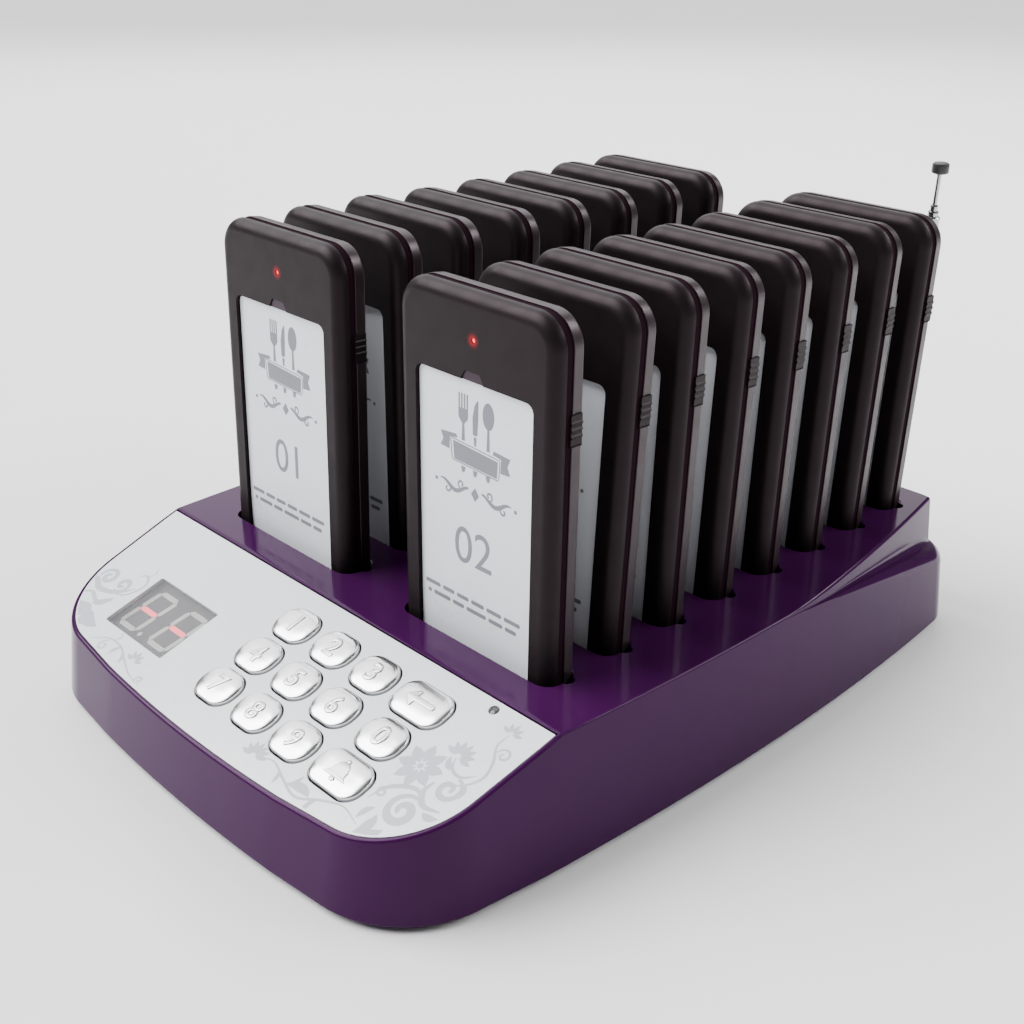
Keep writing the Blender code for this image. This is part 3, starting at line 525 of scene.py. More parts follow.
def wall_x(y, z):
    """Half width of the housing's outline at y and height z."""
    side = [point for point in base_outline(z) if point[0] > 0.0 and point[1] > SLOPE_Y]
    for (near_x, near_y), (far_x, far_y) in zip(side, side[1:]):
        if near_y <= y <= far_y and far_y > near_y:
            return near_x + (far_x - near_x) * (y - near_y) / (far_y - near_y)
    return side[-1][0]


def scoop_section(y, side, inset):
    """The space over the shelf at y: rolled outer edge, floor, foot of the deck wall, crest."""
    low = shelf_z(y) - inset
    far = SKIRT_HALF_WIDTH + 10.0
    crest = min(DECK_CREST, -0.4 * low)
    widening = max(0.0, SCOOP_WALL_Y - y) * 0.02
    top_x = deck_wall_x(y) - inset + widening
    foot_x = top_x - SCOOP_DRAFT * low
    outer = max(wall_x(y, low), foot_x + 1.5)
    foot = min(2.5, -0.45 * low, 0.35 * (outer - foot_x))
    roll = max(0.05, min(SHELF_ROUND, 0.55 * (outer - foot_x))) if inset == 0.0 else 0.05
    outer = max(wall_x(y, low - roll), foot_x + 1.5)
    turns = [math.radians(a) for a in (76, 62, 48, 36, 24, 12, 0)]
    arc = [(outer - roll + roll * math.sin(a), low - roll + roll * math.cos(a)) for a in turns]
    x, z = arc[0]
    run = 2.0
    start = (x + run * math.cos(turns[0]), z - run * math.sin(turns[0]))
    points = [(far, start[1]), start] + arc
    points += fillet(arc[-1], (foot_x, low), (top_x, 0.0), foot, 6)
    turns = [math.radians(a) for a in (0, 18, 36, 54, 70)]
    points += [(top_x - crest + crest * math.cos(a), -crest + crest * math.sin(a))
               for a in turns]
    x, z = points[-1]
    rise = 1.0
    points += [(x - rise / math.cos(turns[-1]) * math.sin(turns[-1]), z + rise), (far, z + 5.0)]
    return [(side * x, y, z) for x, z in points]


def scoops(inset=0.0):
    stations = [SCOOP_START_Y + 1.0, SCOOP_WALL_Y] + list(range(60, 137, 4))
    stations += list(range(138, 152)) + [156]
    return joined(*[loft([scoop_section(y, side, inset) for y in stations])
                    for side in (1, -1)])


def slope_rim(inset):
    """The housing's outline on the slope, right half, drawn in by inset; rear edge at y = 0."""
    tangent = math.tan(SLOPE_ANGLE)
    rim = []
    for (top_x, top_y), (low_x, low_y) in zip(base_outline(0.0), base_outline(-SKIRT_DEPTH)):
        if top_x < 0 or top_y > SLOPE_Y - 1.0:
            continue
        part = (SLOPE_Y - top_y) * tangent / (SKIRT_DEPTH + (low_y - top_y) * tangent)
        y = top_y + (low_y - top_y) * part
        rim.append(Vector((top_x + (low_x - top_x) * part, (y - SLOPE_Y) / math.cos(SLOPE_ANGLE))))
    rim.append(Vector((side_x(SLOPE_Y, TOP_HALF_WIDTH), 0.0)))
    drawn_in = []
    for i, point in enumerate(rim):
        along = rim[min(i + 1, len(rim) - 1)] - rim[max(i - 1, 0)]
        inward = Vector((-along.y, along.x)).normalized()
        drawn_in.append(point + inward * inset)
    return drawn_in


def plate_outline(grow=0.0, rear=-PLATE_SETBACK):
    """Outline of the face plate in slope coordinates, its rear edge just short of the deck."""
    right = [(x, y) for x, y in slope_rim(RIM - grow)]
    right[-1] = (right[-1][0], grow + rear)
    return mirrored(right)


def flared(outline_at, depth, radius):
    """A cutter for an opening whose upper edge is rounded; outline_at gives the grown outline."""
    sections = [[(x, y, -depth) for x, y in outline_at(0.0)]]
    for degrees in (0, 20, 40, 60, 72):
        a = math.radians(degrees)
        grow, z = radius * (1 - math.cos(a)), radius * (math.sin(a) - 1)
        sections.append([(x, y, z) for x, y in outline_at(grow)])
    rise = 0.4
    far = grow + rise * math.tan(a)
    sections.append([(x, y, z + rise) for x, y in outline_at(far)])
    sections.append([(x, y, z + rise + 2.0) for x, y in outline_at(far)])
    return loft(sections)


def in_slope(bm):
    """Bring a mesh in slope coordinates into the set's frame."""
    turned(bm, math.degrees(SLOPE_ANGLE), "X")
    return moved(bm, 0.0, SLOPE_Y)


def local_box(node, matrix):
    """Lowest and highest corner of a CAD node in another frame, in millimetres."""
    back = matrix.inverted()
    points = [back @ v.co for v in frame["nodes"][node].data.vertices]
    low = Vector([min(p[i] for p in points) for i in range(3)]) / MM
    high = Vector([max(p[i] for p in points) for i in range(3)]) / MM
    return low, high


KEYS = {node: local_box(node, SLOPE) for node in sorted(frame["nodes"])
        if node.startswith("key_") and node != "key_membrane"}


def key_corner(low, high):
    return KEY_CORNER - (0.4 if high.x - low.x > WIDE_KEY else 0.0)


def key_outline(low, high, grow):
    return framed(low, high, grow, key_corner(low, high) + grow)


def key_openings(edge):
    return joined(*[flared(lambda grow: key_outline(low, high, KEY_CLEARANCE + grow), 8.0, edge)
                    for low, high in KEYS.values()])


def slot_places():
    """Where the slots lie in the deck, from the grid that the pagers stand in."""
    return [(side * COLUMN_X, row * ROW_PITCH) for row in range(ROWS) for side in (-1, 1)]


def slot_cutter(x, y):
    def outline_at(grow):
        reach = SLOT_CLEARANCE + grow
        half = PAGER_WIDTH / 2 + reach
        return rectangle(-half, half, -PAGER_FRONT - reach, PAGER_REAR + reach, 4.0 + grow, 7)

    bm = turned(flared(outline_at, DECK_WALL + 2.0, 0.45), -math.degrees(MEAN_LEAN), "X")
    return moved(bm, x, y)


def slot_notches(x, y):
    """Small blind notches in the deck at the two ends of a slot."""
    notches = []
    for side in (-1, 1):
        place = side * (PAGER_WIDTH / 2 + SLOT_CLEARANCE)
        cutter = flared(lambda grow: ellipse(0.0, 0.0, 1.3 + grow, 1.6 + grow), 1.5, 0.35)
        notches.append(moved(cutter, x + place, y + 1.2))
    return joined(*notches)


def make_housing():
    bm = soften(base_form(0.0, -SKIRT_DEPTH, 0.0, 0.0), EDGE_ROUND, 4, 45)
    ridge = [e for e in bm.edges if all(abs(v.co.y - SLOPE_Y) < 0.05 and abs(v.co.z) < 0.05
                                        for v in e.verts)]
    bmesh.ops.bevel(bm, geom=ridge, offset=RIDGE_ROUND, segments=5, profile=0.5,
                    affect="EDGES", clamp_overlap=True)
    bm = boolean(bm, scoops())
    core = base_form(WALL, -SKIRT_DEPTH - 3.0, -DECK_WALL, SLOPE_WALL)
    bm = boolean(bm, boolean(core, scoops(WALL)))
    recess = flared(lambda grow: plate_outline(PLATE_JOINT + grow, 0.25 - PLATE_SETBACK),
                    PLATE_THICKNESS + GAP, 0.15)
    bm = boolean(bm, in_slope(recess))
    bm = boolean(bm, in_slope(key_openings(0.1)))
    low, high = local_box("display_module", SLOPE)
    well = prism(framed(low, high, GAP, 0.6), -6.0, 0.0)
    low, high = local_box("status_lamp", SLOPE)
    place = ((low.x + high.x) / 2, (low.y + high.y) / 2, 0.0)
    eye = moved(lathe(round_ends((high.x - low.x) / 2 + GAP, -8.0, 1.0, 0.1)), *place)
    bm = boolean(bm, in_slope(joined(well, eye)))
    bm = boolean(bm, joined(*[slot_notches(x, y) for x, y in slot_places()]))
    bm = boolean(bm, joined(*[slot_cutter(x, y) for x, y in slot_places()]))
    low, high = local_box("power_jack", SET)
    opening = lay_back(prism(rectangle(low.x - GAP, high.x + GAP, -high.z - GAP, -low.z + GAP, 0.8),
                             high.y - 6.0, high.y + 4.0))
    bush = local_box("antenna_mount", SET)
    middle = (bush[0] + bush[1]) / 2
    hole = lay_back(lathe(round_ends(3.3, -8.0, 8.0, 0.1)))
    moved(hole, middle.x, TOP_REAR_Y, middle.z)
    bm = boolean(bm, joined(opening, hole))
    piece("housing_shell", (bm, PURPLE), SET, "base", "purple_abs", "upper_housing")


# ---- Pieces on the slope ----
def make_plate():
    sections = [(0.1, -PLATE_THICKNESS), (0.0, -PLATE_THICKNESS + 0.1), (0.0, -0.12),
                (0.04, -0.03), (0.12, 0.0)]
    bm = loft([[(x, y, z) for x, y in plate_outline(-inset)] for inset, z in sections])
    bm = boolean(bm, key_openings(0.18))
    low, high = local_box("display_lens", SLOPE)
    window = flared(lambda grow: framed(low, high, 0.1 + grow, 0.5 + grow), 3.0, 0.12)
    lamp_low, lamp_high = local_box("status_lamp", SLOPE)
    centre = (lamp_low + lamp_high) / 2
    radius = (lamp_high.x - lamp_low.x) / 2
    eye = flared(lambda grow: ellipse(centre.x, centre.y, radius + 0.1 + grow,
                                      radius + 0.1 + grow), 3.0, 0.15)
    bm = boolean(bm, joined(window, eye))
    piece("face_plate", (bm, PLATE), SLOPE, "base", "printed_plate", "faceplate")
    dome = [(0.0, lamp_low.z), (radius - 0.02, lamp_low.z), (radius - 0.02, -0.35),
            (radius - 0.3, -0.18), (radius - 0.8, -0.06), (0.0, -0.02)]
    piece("status_eye", (moved(lathe(dome), centre.x, centre.y), STATUS), SLOPE, "base",
          "status_lamp", "status_lamp")
    glass = soften(prism(framed(low, high, 0.0, 0.45), -0.9, -0.02), 0.08, 2)
    piece("display_glass", (glass, LENS), SLOPE, "base", "display_lens", "display_lens")


def smooth_path(points, steps=10):
    """A Catmull-Rom curve through given points."""
    points = [Vector(p) for p in points]
    points = [2 * points[0] - points[1]] + points + [2 * points[-1] - points[-2]]
    path = []
    for a, b, c, d in zip(points, points[1:], points[2:], points[3:]):
        for i in range(steps):
            t = i / steps
            path.append(0.5 * (2 * b + (c - a) * t + (2 * a - 5 * b + 4 * c - d) * t ** 2
                               + (3 * b - a - 3 * c + d) * t ** 3))
    return path + [points[-2]]


def curl(x, y, radius, start, turns, steps=26):
    """A spiral in to (x, y) from a radius, from a start angle in degrees."""
    path = []
    for i in range(steps + 1):
        t = i / steps
        angle = math.radians(start) + math.tau * turns * t
        reach = radius * (1 - 0.82 * t)
        path.append((x + reach * math.cos(angle), y + reach * math.sin(angle)))
    return path


def ribbon(path, width, tips=(0.3, 0.2)):
    """Outline of a stroke along a path; it swells to its width between its two tips."""
    path = [Vector(p) for p in path]
    left, right = [], []
    for i, point in enumerate(path):
        along = path[min(i + 1, len(path) - 1)] - path[max(i - 1, 0)]
        across = Vector((-along.y, along.x)).normalized()
        t = i / (len(path) - 1)
        base = tips[0] + (tips[1] - tips[0]) * t
        half = width / 2 * (base + (1 - base) * math.sin(math.pi * t))
        left.append(point + across * half)
        right.append(point - across * half)
    return right + left[::-1]


def leaf(x, y, length, width, degrees, bend=0.0):
    """A pointed leaf from its stalk end, turned and bent."""
    path = []
    for i in range(13):
        t = i / 12
        angle = math.radians(degrees + bend * t)
        path.append((x + length * t * math.cos(angle), y + length * t * math.sin(angle)))
    return ribbon(path, width, (0.02, 0.02))


def blossom(x, y, reach, petals, width, degrees, spread=360.0):
    """Petals round a point, all round or as a fan."""
    gap = spread / petals if spread == 360.0 else spread / (petals - 1)
    start = degrees if spread == 360.0 else degrees - spread / 2
    shapes = []
    for i in range(petals):
        angle = start + gap * i
        inner = 0.16 * reach
        shapes.append(leaf(x + inner * math.cos(math.radians(angle)),
                           y + inner * math.sin(math.radians(angle)), reach - inner, width, angle))
    return shapes


def stroke(width, *points):
    return ribbon(smooth_path(points), width)


def scroll(x, y, radius, start, turns, width, first_tip, last_tip):
    return ribbon(curl(x, y, radius, start, turns), width, (first_tip, last_tip))


def ornament():
    """The plate's scrolls, leaves and blossoms: x and the distance down the slope as -y."""
    shapes = []
    # left corner: two volutes on one stem, and a leaf under them
    shapes += [stroke(1.7, (-75.5, -33.5), (-71, -31), (-66, -33), (-60, -31.5), (-55.6, -27.5)),
               scroll(-67.5, -28.8, 3.1, 200, -1.35, 1.5, 0.5, 0.5),
               scroll(-60.6, -28.6, 2.7, 250, 1.3, 1.5, 0.5, 0.5),
               stroke(0.75, (-62.5, -32.6), (-56.5, -30.6), (-54.4, -25.6), (-57.2, -22.6),
                      (-59.6, -24.4)),
               stroke(0.4, (-56.6, -23), (-56, -20.6), (-57.4, -18.6)),
               stroke(1.1, (-70.6, -37.5), (-66.5, -35), (-62, -36.4), (-57.4, -34)),
               leaf(-62.6, -37.6, 6.5, 2.2, 20, 26),
               leaf(-66.2, -38.8, 8.0, 4.8, -38, 30),
               leaf(-60.6, -39.6, 8.6, 3.6, -52, 36),
               scroll(-58.6, -42.2, 2.6, 100, -1.1, 1.1, 0.5, 0.4)]
    # front edge, left: a vine with tendrils and a small lotus
    shapes += [stroke(0.55, (-50, -45.4), (-45.4, -42.6), (-39.5, -42.4), (-34, -44.6),
                      (-28.4, -46.8), (-22.6, -47.6)),
               scroll(-44.2, -44.9, 1.8, 90, 1.2, 0.6, 0.6, 0.5),
               scroll(-24.2, -46.5, 1.3, 250, -1.1, 0.6, 0.6, 0.5),
               stroke(0.45, (-43, -42.4), (-42.2, -40.4), (-43.4, -39.2)),
               leaf(-38.6, -42.5, 3.8, 1.1, -150, 40), leaf(-36.6, -43.4, 3.6, 1.1, -28, -30)]
    shapes += blossom(-31.8, -43.6, 3.3, 5, 1.15, 90, 150)
    # right: a large flower, a lotus over it and one near the deck
    shapes += blossom(56.6, -24.0, 6.0, 8, 2.7, 12)
    shapes += [ellipse(56.6, -24.0, 0.75, 0.75, 16)]
    shapes += blossom(61.6, -17.6, 4.3, 7, 1.35, 78, 170)
    shapes += blossom(66.9, -6.6, 3.1, 5, 1.0, 86, 150)
    shapes += [stroke(0.75, (66.9, -6.9), (66.8, -10.6), (69.4, -14.4), (70.6, -18.6),
                      (68.4, -22.4), (64.6, -24.4)),
               scroll(70.0, -11.8, 1.9, 180, -1.2, 0.65, 0.6, 0.5),
               stroke(0.8, (61.6, -18), (63.2, -20.6), (66.4, -21.2), (69, -19)),
               scroll(66.6, -25.0, 3.3, 90, -1.35, 1.5, 0.45, 0.5),
               stroke(1.5, (62.6, -25.2), (62.4, -28.4), (65.2, -31), (69.6, -30.2)),
               leaf(69.2, -22.0, 4.4, 1.7, -70, -20), leaf(63.0, -21.2, 4.0, 1.5, 160, -30)]
    # right: the great scroll under the flower
    shapes += [scroll(62.4, -34.6, 4.4, 60, 1.5, 2.1, 0.3, 0.45),
               stroke(1.2, (64.6, -30.9), (61.2, -28.9), (57.6, -30), (54.6, -32.6),
                      (53.4, -36.4)),
               scroll(55.0, -33.6, 1.5, 100, 1.1, 0.7, 0.6, 0.5),
               leaf(58.6, -38.2, 6.4, 2.6, -60, -40), leaf(62.8, -40.2, 5.4, 2.2, -110, -30),
               leaf(66.4, -32.2, 4.2, 1.8, -30, 40), leaf(57.0, -37.2, 4.6, 1.6, -140, 30)]
    # front edge, right: a vine with a leaf and a lotus at its end
    shapes += [stroke(0.7, (57, -42.6), (51, -41.2), (45.4, -43), (39.6, -45.8), (33, -44.2),
                      (27.4, -42.4), (22.4, -44)),
               stroke(0.5, (49, -41.4), (47.4, -38.6), (49.8, -36.6), (51.4, -38.4)),
               leaf(42.4, -44.3, 7.6, 2.4, 150, 34), leaf(44.6, -43.4, 4.6, 1.3, -130, 36),
               leaf(35.4, -44.8, 4.2, 1.2, 40, 30), leaf(30.6, -43.3, 3.6, 1.1, -40, -30)]
    shapes += blossom(21.6, -44.3, 4.2, 7, 1.25, 96, 160)
    return shapes


def clipped(outline, border):
    """The part of an outline inside a convex border that runs counter-clockwise."""
    for i, corner in enumerate(border):
        start, along = Vector(border[i - 1]), Vector(corner) - Vector(border[i - 1])
        sides = [along.cross(Vector(point) - start) for point in outline]
        kept = []
        for j, point in enumerate(outline):
            if sides[j - 1] * sides[j] < 0.0:
                part = sides[j - 1] / (sides[j - 1] - sides[j])
                before = Vector(outline[j - 1])
                kept.append(before + (Vector(point) - before) * part)
            if sides[j] >= 0.0:
                kept.append(Vector(point))
        outline = kept
        if len(outline) < 3:
            break
    return outline


def printed(shapes, thickness, trim=None):
    """Thin closed prints of outlines; each lies a hair higher than the one before."""
    prints = []
    for i, outline in enumerate(shapes):
        height = thickness * (1 + 0.5 * (i % 7) / 7)
        printing = prism(outline, -thickness, height)
        prints.append(trim(printing) if trim else printing)
    return joined(*prints)


def clear_of_keys(bm):
    """Cut a print back from the key openings that it reaches."""
    for low, high in KEYS.values():
        reach = KEY_CLEARANCE + 0.25
        if any(low.x - reach < v.co.x < high.x + reach and low.y - reach < v.co.y < high.y + reach
               for v in bm.verts):
            bm = boolean(bm, prism(key_outline(low, high, reach), -1.0, 1.0))
    return bm


def make_ornament():
    border = plate_outline(-0.5)
    shapes = [clipped(shape, border) for shape in ornament()]
    shapes = [shape for shape in shapes if len(shape) > 2]
    piece("plate_ornament", (printed(shapes, 0.012, clear_of_keys), INK), SLOPE, "base",
          "printed_plate")


def dome_height(x, y, half_x, half_y, corner):
    """Height of the key's crowned top at a point from its middle."""
    qx, qy = abs(x) - (half_x - corner), abs(y) - (half_y - corner)
    outside = math.hypot(max(qx, 0.0), max(qy, 0.0)) + min(max(qx, qy), 0.0)
    inset = max(0.0, corner - outside)
    fall = max(0.0, 1 - inset / corner)
    return KEY_SIDE + (KEY_HEIGHT - KEY_SIDE) * (1 - fall ** 2.7) ** (1 / 2.7)


def relief(curve_data):
    """A mesh in millimetres of a text or curve object, its caps welded on."""
    obj = bpy.data.objects.new("relief", curve_data)
    bpy.context.scene.collection.objects.link(obj)
    bpy.context.view_layer.update()
    data = bpy.data.meshes.new_from_object(obj.evaluated_get(
        bpy.context.evaluated_depsgraph_get()))
    bpy.data.objects.remove(obj)
    bm = bmesh.new()
    bm.from_mesh(data)
    bpy.data.meshes.remove(data)
    bmesh.ops.remove_doubles(bm, verts=bm.verts, dist=MERGE)
    bmesh.ops.recalc_face_normals(bm, faces=bm.faces)
    return bm


def number_mesh(text, height, edge=0.0, bold=0.0):
    """A raised number, centred on the origin."""
    curve = bpy.data.curves.new("number", "FONT")
    curve.body = text
    curve.offset = bold
    curve.size = height / 0.73
    curve.extrude = PRINT_DEPTH
    curve.bevel_depth = edge
    curve.bevel_resolution = 1
    curve.resolution_u = 6
    bm = relief(curve)
    low = [min(v.co[i] for v in bm.verts) for i in range(2)]
    high = [max(v.co[i] for v in bm.verts) for i in range(2)]
    factor = height / (high[1] - low[1])
    bmesh.ops.scale(bm, vec=(factor, factor, 1.0), verts=bm.verts)
    return moved(bm, -(low[0] + high[0]) / 2 * factor, -(low[1] + high[1]) / 2 * factor)


def picture_mesh(outlines):
    """A key's raised picture out of closed outlines."""
    curve = bpy.data.curves.new("picture", "CURVE")
    curve.dimensions = "2D"
    curve.fill_mode = "BOTH"
    curve.extrude = PRINT_DEPTH
    curve.bevel_depth = LEGEND_EDGE
    curve.bevel_resolution = 1
    for outline in outlines:
        spline = curve.splines.new("POLY")
        spline.points.add(len(outline) - 1)
        for point, (x, y) in zip(spline.points, outline):
            point.co = (x, y, 0.0, 1.0)
        spline.use_cyclic_u = True
    return relief(curve)


def arrow_outline():
    """A backspace arrow, to the left."""
    return rounded([(-4.6, 0.0, 0.25), (-1.6, -2.4, 0.2), (-1.6, -0.55, 0.0), (4.4, -0.55, 0.4),
                    (4.4, 0.55, 0.4), (-1.6, 0.55, 0.0), (-1.6, 2.4, 0.2)], 3)


def bell_outlines():
    body = smooth_path([(-3.1, -1.7), (-2.3, -0.9), (-1.95, 0.7), (-1.2, 1.9), (0, 2.35),
                        (1.2, 1.9), (1.95, 0.7), (2.3, -0.9), (3.1, -1.7)], 5)
    return [[(p.x, p.y) for p in reversed(body)], ellipse(0.0, -2.4, 0.62, 0.42, 14),
            ellipse(0.0, 2.85, 0.42, 0.32, 12)]


def make_keys():
    pictures = {"key_delete": [arrow_outline()], "key_call": bell_outlines()}
    for node, (low, high) in KEYS.items():
        corner = key_corner(low, high)
        middle = (low + high) / 2
        half_x, half_y = (high.x - low.x) / 2, (high.y - low.y) / 2
        sections = [(0.15, -KEY_DEPTH), (0.0, -KEY_DEPTH + 0.15), (0.0, KEY_SIDE)]
        for inset in (0.03, 0.1, 0.22, 0.4, 0.65, 1.0, 1.45, 2.0, 2.7, 3.4, 3.9):
            sections.append((inset, dome_height(0.0, half_y - inset, half_x, half_y, corner)))
        bm = loft([[(x, y, z) for x, y in rectangle(-half_x + d, half_x - d, -half_y + d,
                                                    half_y - d, corner - d, 10)]
                   for d, z in sections])
        if node in pictures:
            legend = picture_mesh(pictures[node])
        else:
            legend = number_mesh(node[-1], LEGEND_HEIGHT, LEGEND_EDGE, LEGEND_BOLD)
        for v in legend.verts:
            v.co.z += dome_height(v.co.x, v.co.y, half_x, half_y, corner) + 0.01
        # The raised legend takes the darker copy of the silver, a painted shade.
        bm = joined(bm, painted(legend, 1))
        place = SLOPE @ Matrix.Translation((middle.x * MM, middle.y * MM, 0.0))
        piece(node + "_cap", mesh_of(bm, node + "_cap", SILVER, LEGEND_PAINTED_SHADE, angle=50), place,
              node + "_body", "silver_key", node)


def seven_segments(x, y):
    """Outlines of a digit's segments, top, right upper and so on round, the middle one last."""
    t = SEGMENT_WIDTH / 2
    half, rise = DIGIT_WIDTH / 2 - t, DIGIT_HEIGHT / 2 - t

    def bar(x0, y0, x1, y1):
        along = (Vector((x1, y1)) - Vector((x0, y0))).normalized()
        across = Vector((-along.y, along.x)) * t
        a, b = Vector((x0, y0)) + along * SEGMENT_GAP, Vector((x1, y1)) - along * SEGMENT_GAP
        points = [a, a + along * t - across, b - along * t - across, b, b - along * t + across,
                  a + along * t + across]
        return [(x + p.x + p.y * math.tan(DIGIT_SLANT), y + p.y) for p in points]

    return [bar(-half, rise, half, rise), bar(half, rise, half, 0), bar(half, 0, half, -rise),
            bar(-half, -rise, half, -rise), bar(-half, 0, -half, -rise),
            bar(-half, rise, -half, 0), bar(-half, 0, half, 0)]


def make_display():
    low, high = local_box("display_module", SLOPE)
    face = high.z - 0.75
    centre = (low + high) / 2
    body = soften(prism(framed(low, high, 0.0, 0.4), low.z, face), 0.15, 2)
    lit, unlit = [], []
    for side in (-1, 1):
        x = centre.x + side * DIGIT_PITCH / 2 + DIGIT_SHIFT
        bars = seven_segments(x, centre.y)
        lit.append(bars.pop())
        unlit += bars + [ellipse(x + 5.4, centre.y - DIGIT_HEIGHT / 2 + 0.75, DOT_RADIUS,
                                 DOT_RADIUS, 20)]
    windows = [prism(outline, face - 0.4, face + 0.04) for outline in unlit]
    bars = [prism(outline, face - 0.4, face + 0.05) for outline in lit]
    display = joined(body, painted(joined(*windows), 1), painted(joined(*bars), 2))
    piece("segment_display", (display, MODULE, SEGMENT, LIT), SLOPE, "base", "display_body",
          "display_module")


# ---- Pagers ----
def pager_outline(inset):
    half = PAGER_WIDTH / 2 - inset
    low = PAGER_SEAT + inset
    high = PAGER_SEAT + PAGER_HEIGHT - inset
    top = PAGER_TOP_CORNER - inset
    foot = PAGER_FOOT_CORNER - inset
    return rounded([(-half, low, foot), (half, low, foot), (half, high, top),
                    (-half, high, top)], 14)


def pager_skin(sections):
    """A shell from (inset, distance forward) sections."""
    return stand_up(loft([[(x, y, z) for x, y in pager_outline(inset)] for inset, z in sections]))


def front_shell():
    arc = [math.radians(90 - 9 * i) for i in range(11)]
    centre = PAGER_FRONT - FRONT_EDGE
    inner = FRONT_EDGE - SHELL_WALL
    sections = [(FRONT_EDGE * (1 - math.cos(a)), centre + FRONT_EDGE * math.sin(a)) for a in arc]
    sections += [(0.0, -SEAM_Y + 0.15), (0.12, -SEAM_Y), (SHELL_WALL, -SEAM_Y)]
    inner_face = PAGER_FRONT - FRONT_WALL
    sections += [(FRONT_EDGE - inner * math.cos(a),
                  min(inner_face, centre + inner * math.sin(a))) for a in reversed(arc[2:])]
    sections += [(FRONT_EDGE, inner_face)]
    bm = pager_skin(sections)
    low = LABEL_TOP - LABEL_LENGTH
    recess = rectangle(-RECESS_HALF, RECESS_HALF, low - 0.3, LABEL_TOP, 2.2)
    bm = boolean(bm, stand_up(prism(recess, PAGER_FRONT - RECESS_DEPTH, PAGER_FRONT + 1.0)))
    notch = rounded([(-3.4, LABEL_TOP - 1.0, 0.0), (3.4, LABEL_TOP - 1.0, 0.0),
                     (3.4, LABEL_TOP + 0.6, 0.5), (2.3, LABEL_TOP + 2.2, 0.6),
                     (-2.3, LABEL_TOP + 2.2, 0.6), (-3.4, LABEL_TOP + 0.6, 0.5)], 5)
    bm = boolean(bm, stand_up(prism(notch, PAGER_FRONT - NOTCH_DEPTH, PAGER_FRONT + 1.0)))
    eye = lathe(round_ends(LAMP_RADIUS + 0.06, 0.0, PAGER_FRONT + 1.0, 0.1))
    bm = boolean(bm, moved(stand_up(eye), LAMP_X, 0.0, LAMP_Z))
    for face in bm.faces:
        depth = PAGER_FRONT + face.calc_center_median().y
        if abs(depth - NOTCH_DEPTH) < 0.02 and abs(face.normal.y) > 0.9:
            face.material_index = 2
    return bm


def rear_shell():
    arc = [math.radians(15 * i) for i in range(7)]
    sections = [(REAR_TAPER + REAR_EDGE * (1 - math.sin(a)),
                 -PAGER_REAR + REAR_EDGE * (1 - math.cos(a))) for a in arc]
    edge = -SEAM_Y - GROOVE_WIDTH
    sections += [(0.0, edge - 0.12), (0.12, edge), (GROOVE_DEPTH, edge),
                 (GROOVE_DEPTH, -SEAM_Y - 0.05), (SHELL_WALL, -SEAM_Y - 0.05),
                 (SHELL_WALL, -PAGER_REAR + 1.6), (SHELL_WALL + 0.5, -PAGER_REAR + 1.1)]
    bm = pager_skin(sections)
    # The groove's faces take the near-black, unreflecting material as painted shade; the rest of
    # the rear shell takes the lighter, glossier copy of the shell plastic, a painted sheen.
    for face in bm.faces:
        depths = [v.co.y for v in face.verts]
        groove_painted_shade = min(depths) > SEAM_Y and max(depths) < -edge + 0.01
        face.material_index = 1 if groove_painted_shade else 4
    return bm


def side_switch():
    """The ribbed slide on the right-hand edge of the rear shell, and a thin dark slab under it that
    paints the shade of the gap there.
    """
    face = PAGER_WIDTH / 2
    outline = [(face - 0.8, SWITCH_LOW), (face + 0.26, SWITCH_LOW)]
    for i in range(3):
        low = SWITCH_LOW + 1.4 + 1.5 * i
        outline += [(face + 0.26, low), (face + 0.46, low + 0.25), (face + 0.46, low + 0.7),
                    (face + 0.26, low + 0.95)]
    outline += [(face + 0.26, SWITCH_HIGH), (face - 0.8, SWITCH_HIGH)]
    slide = soften(stand_up(prism(outline, -PAGER_REAR + 0.75, -0.1)), 0.06, 2)
    # A thin slab in the groove's dark material: painted shade for the gap under the slide.
    gap = rectangle(face - 0.8, face + 0.03, SWITCH_LOW - 0.5, SWITCH_LOW - 0.02)
    return joined(slide, painted(stand_up(prism(gap, -PAGER_REAR + 0.5, -0.3)), 1))


def foot_contacts():
    pads = [moved(lathe(round_ends(1.7, PAGER_SEAT - 0.04, PAGER_SEAT + 0.5, 0.03)), x, 0.0)
            for x in (-CONTACT_X, CONTACT_X)]
    return painted(joined(*pads), 3)


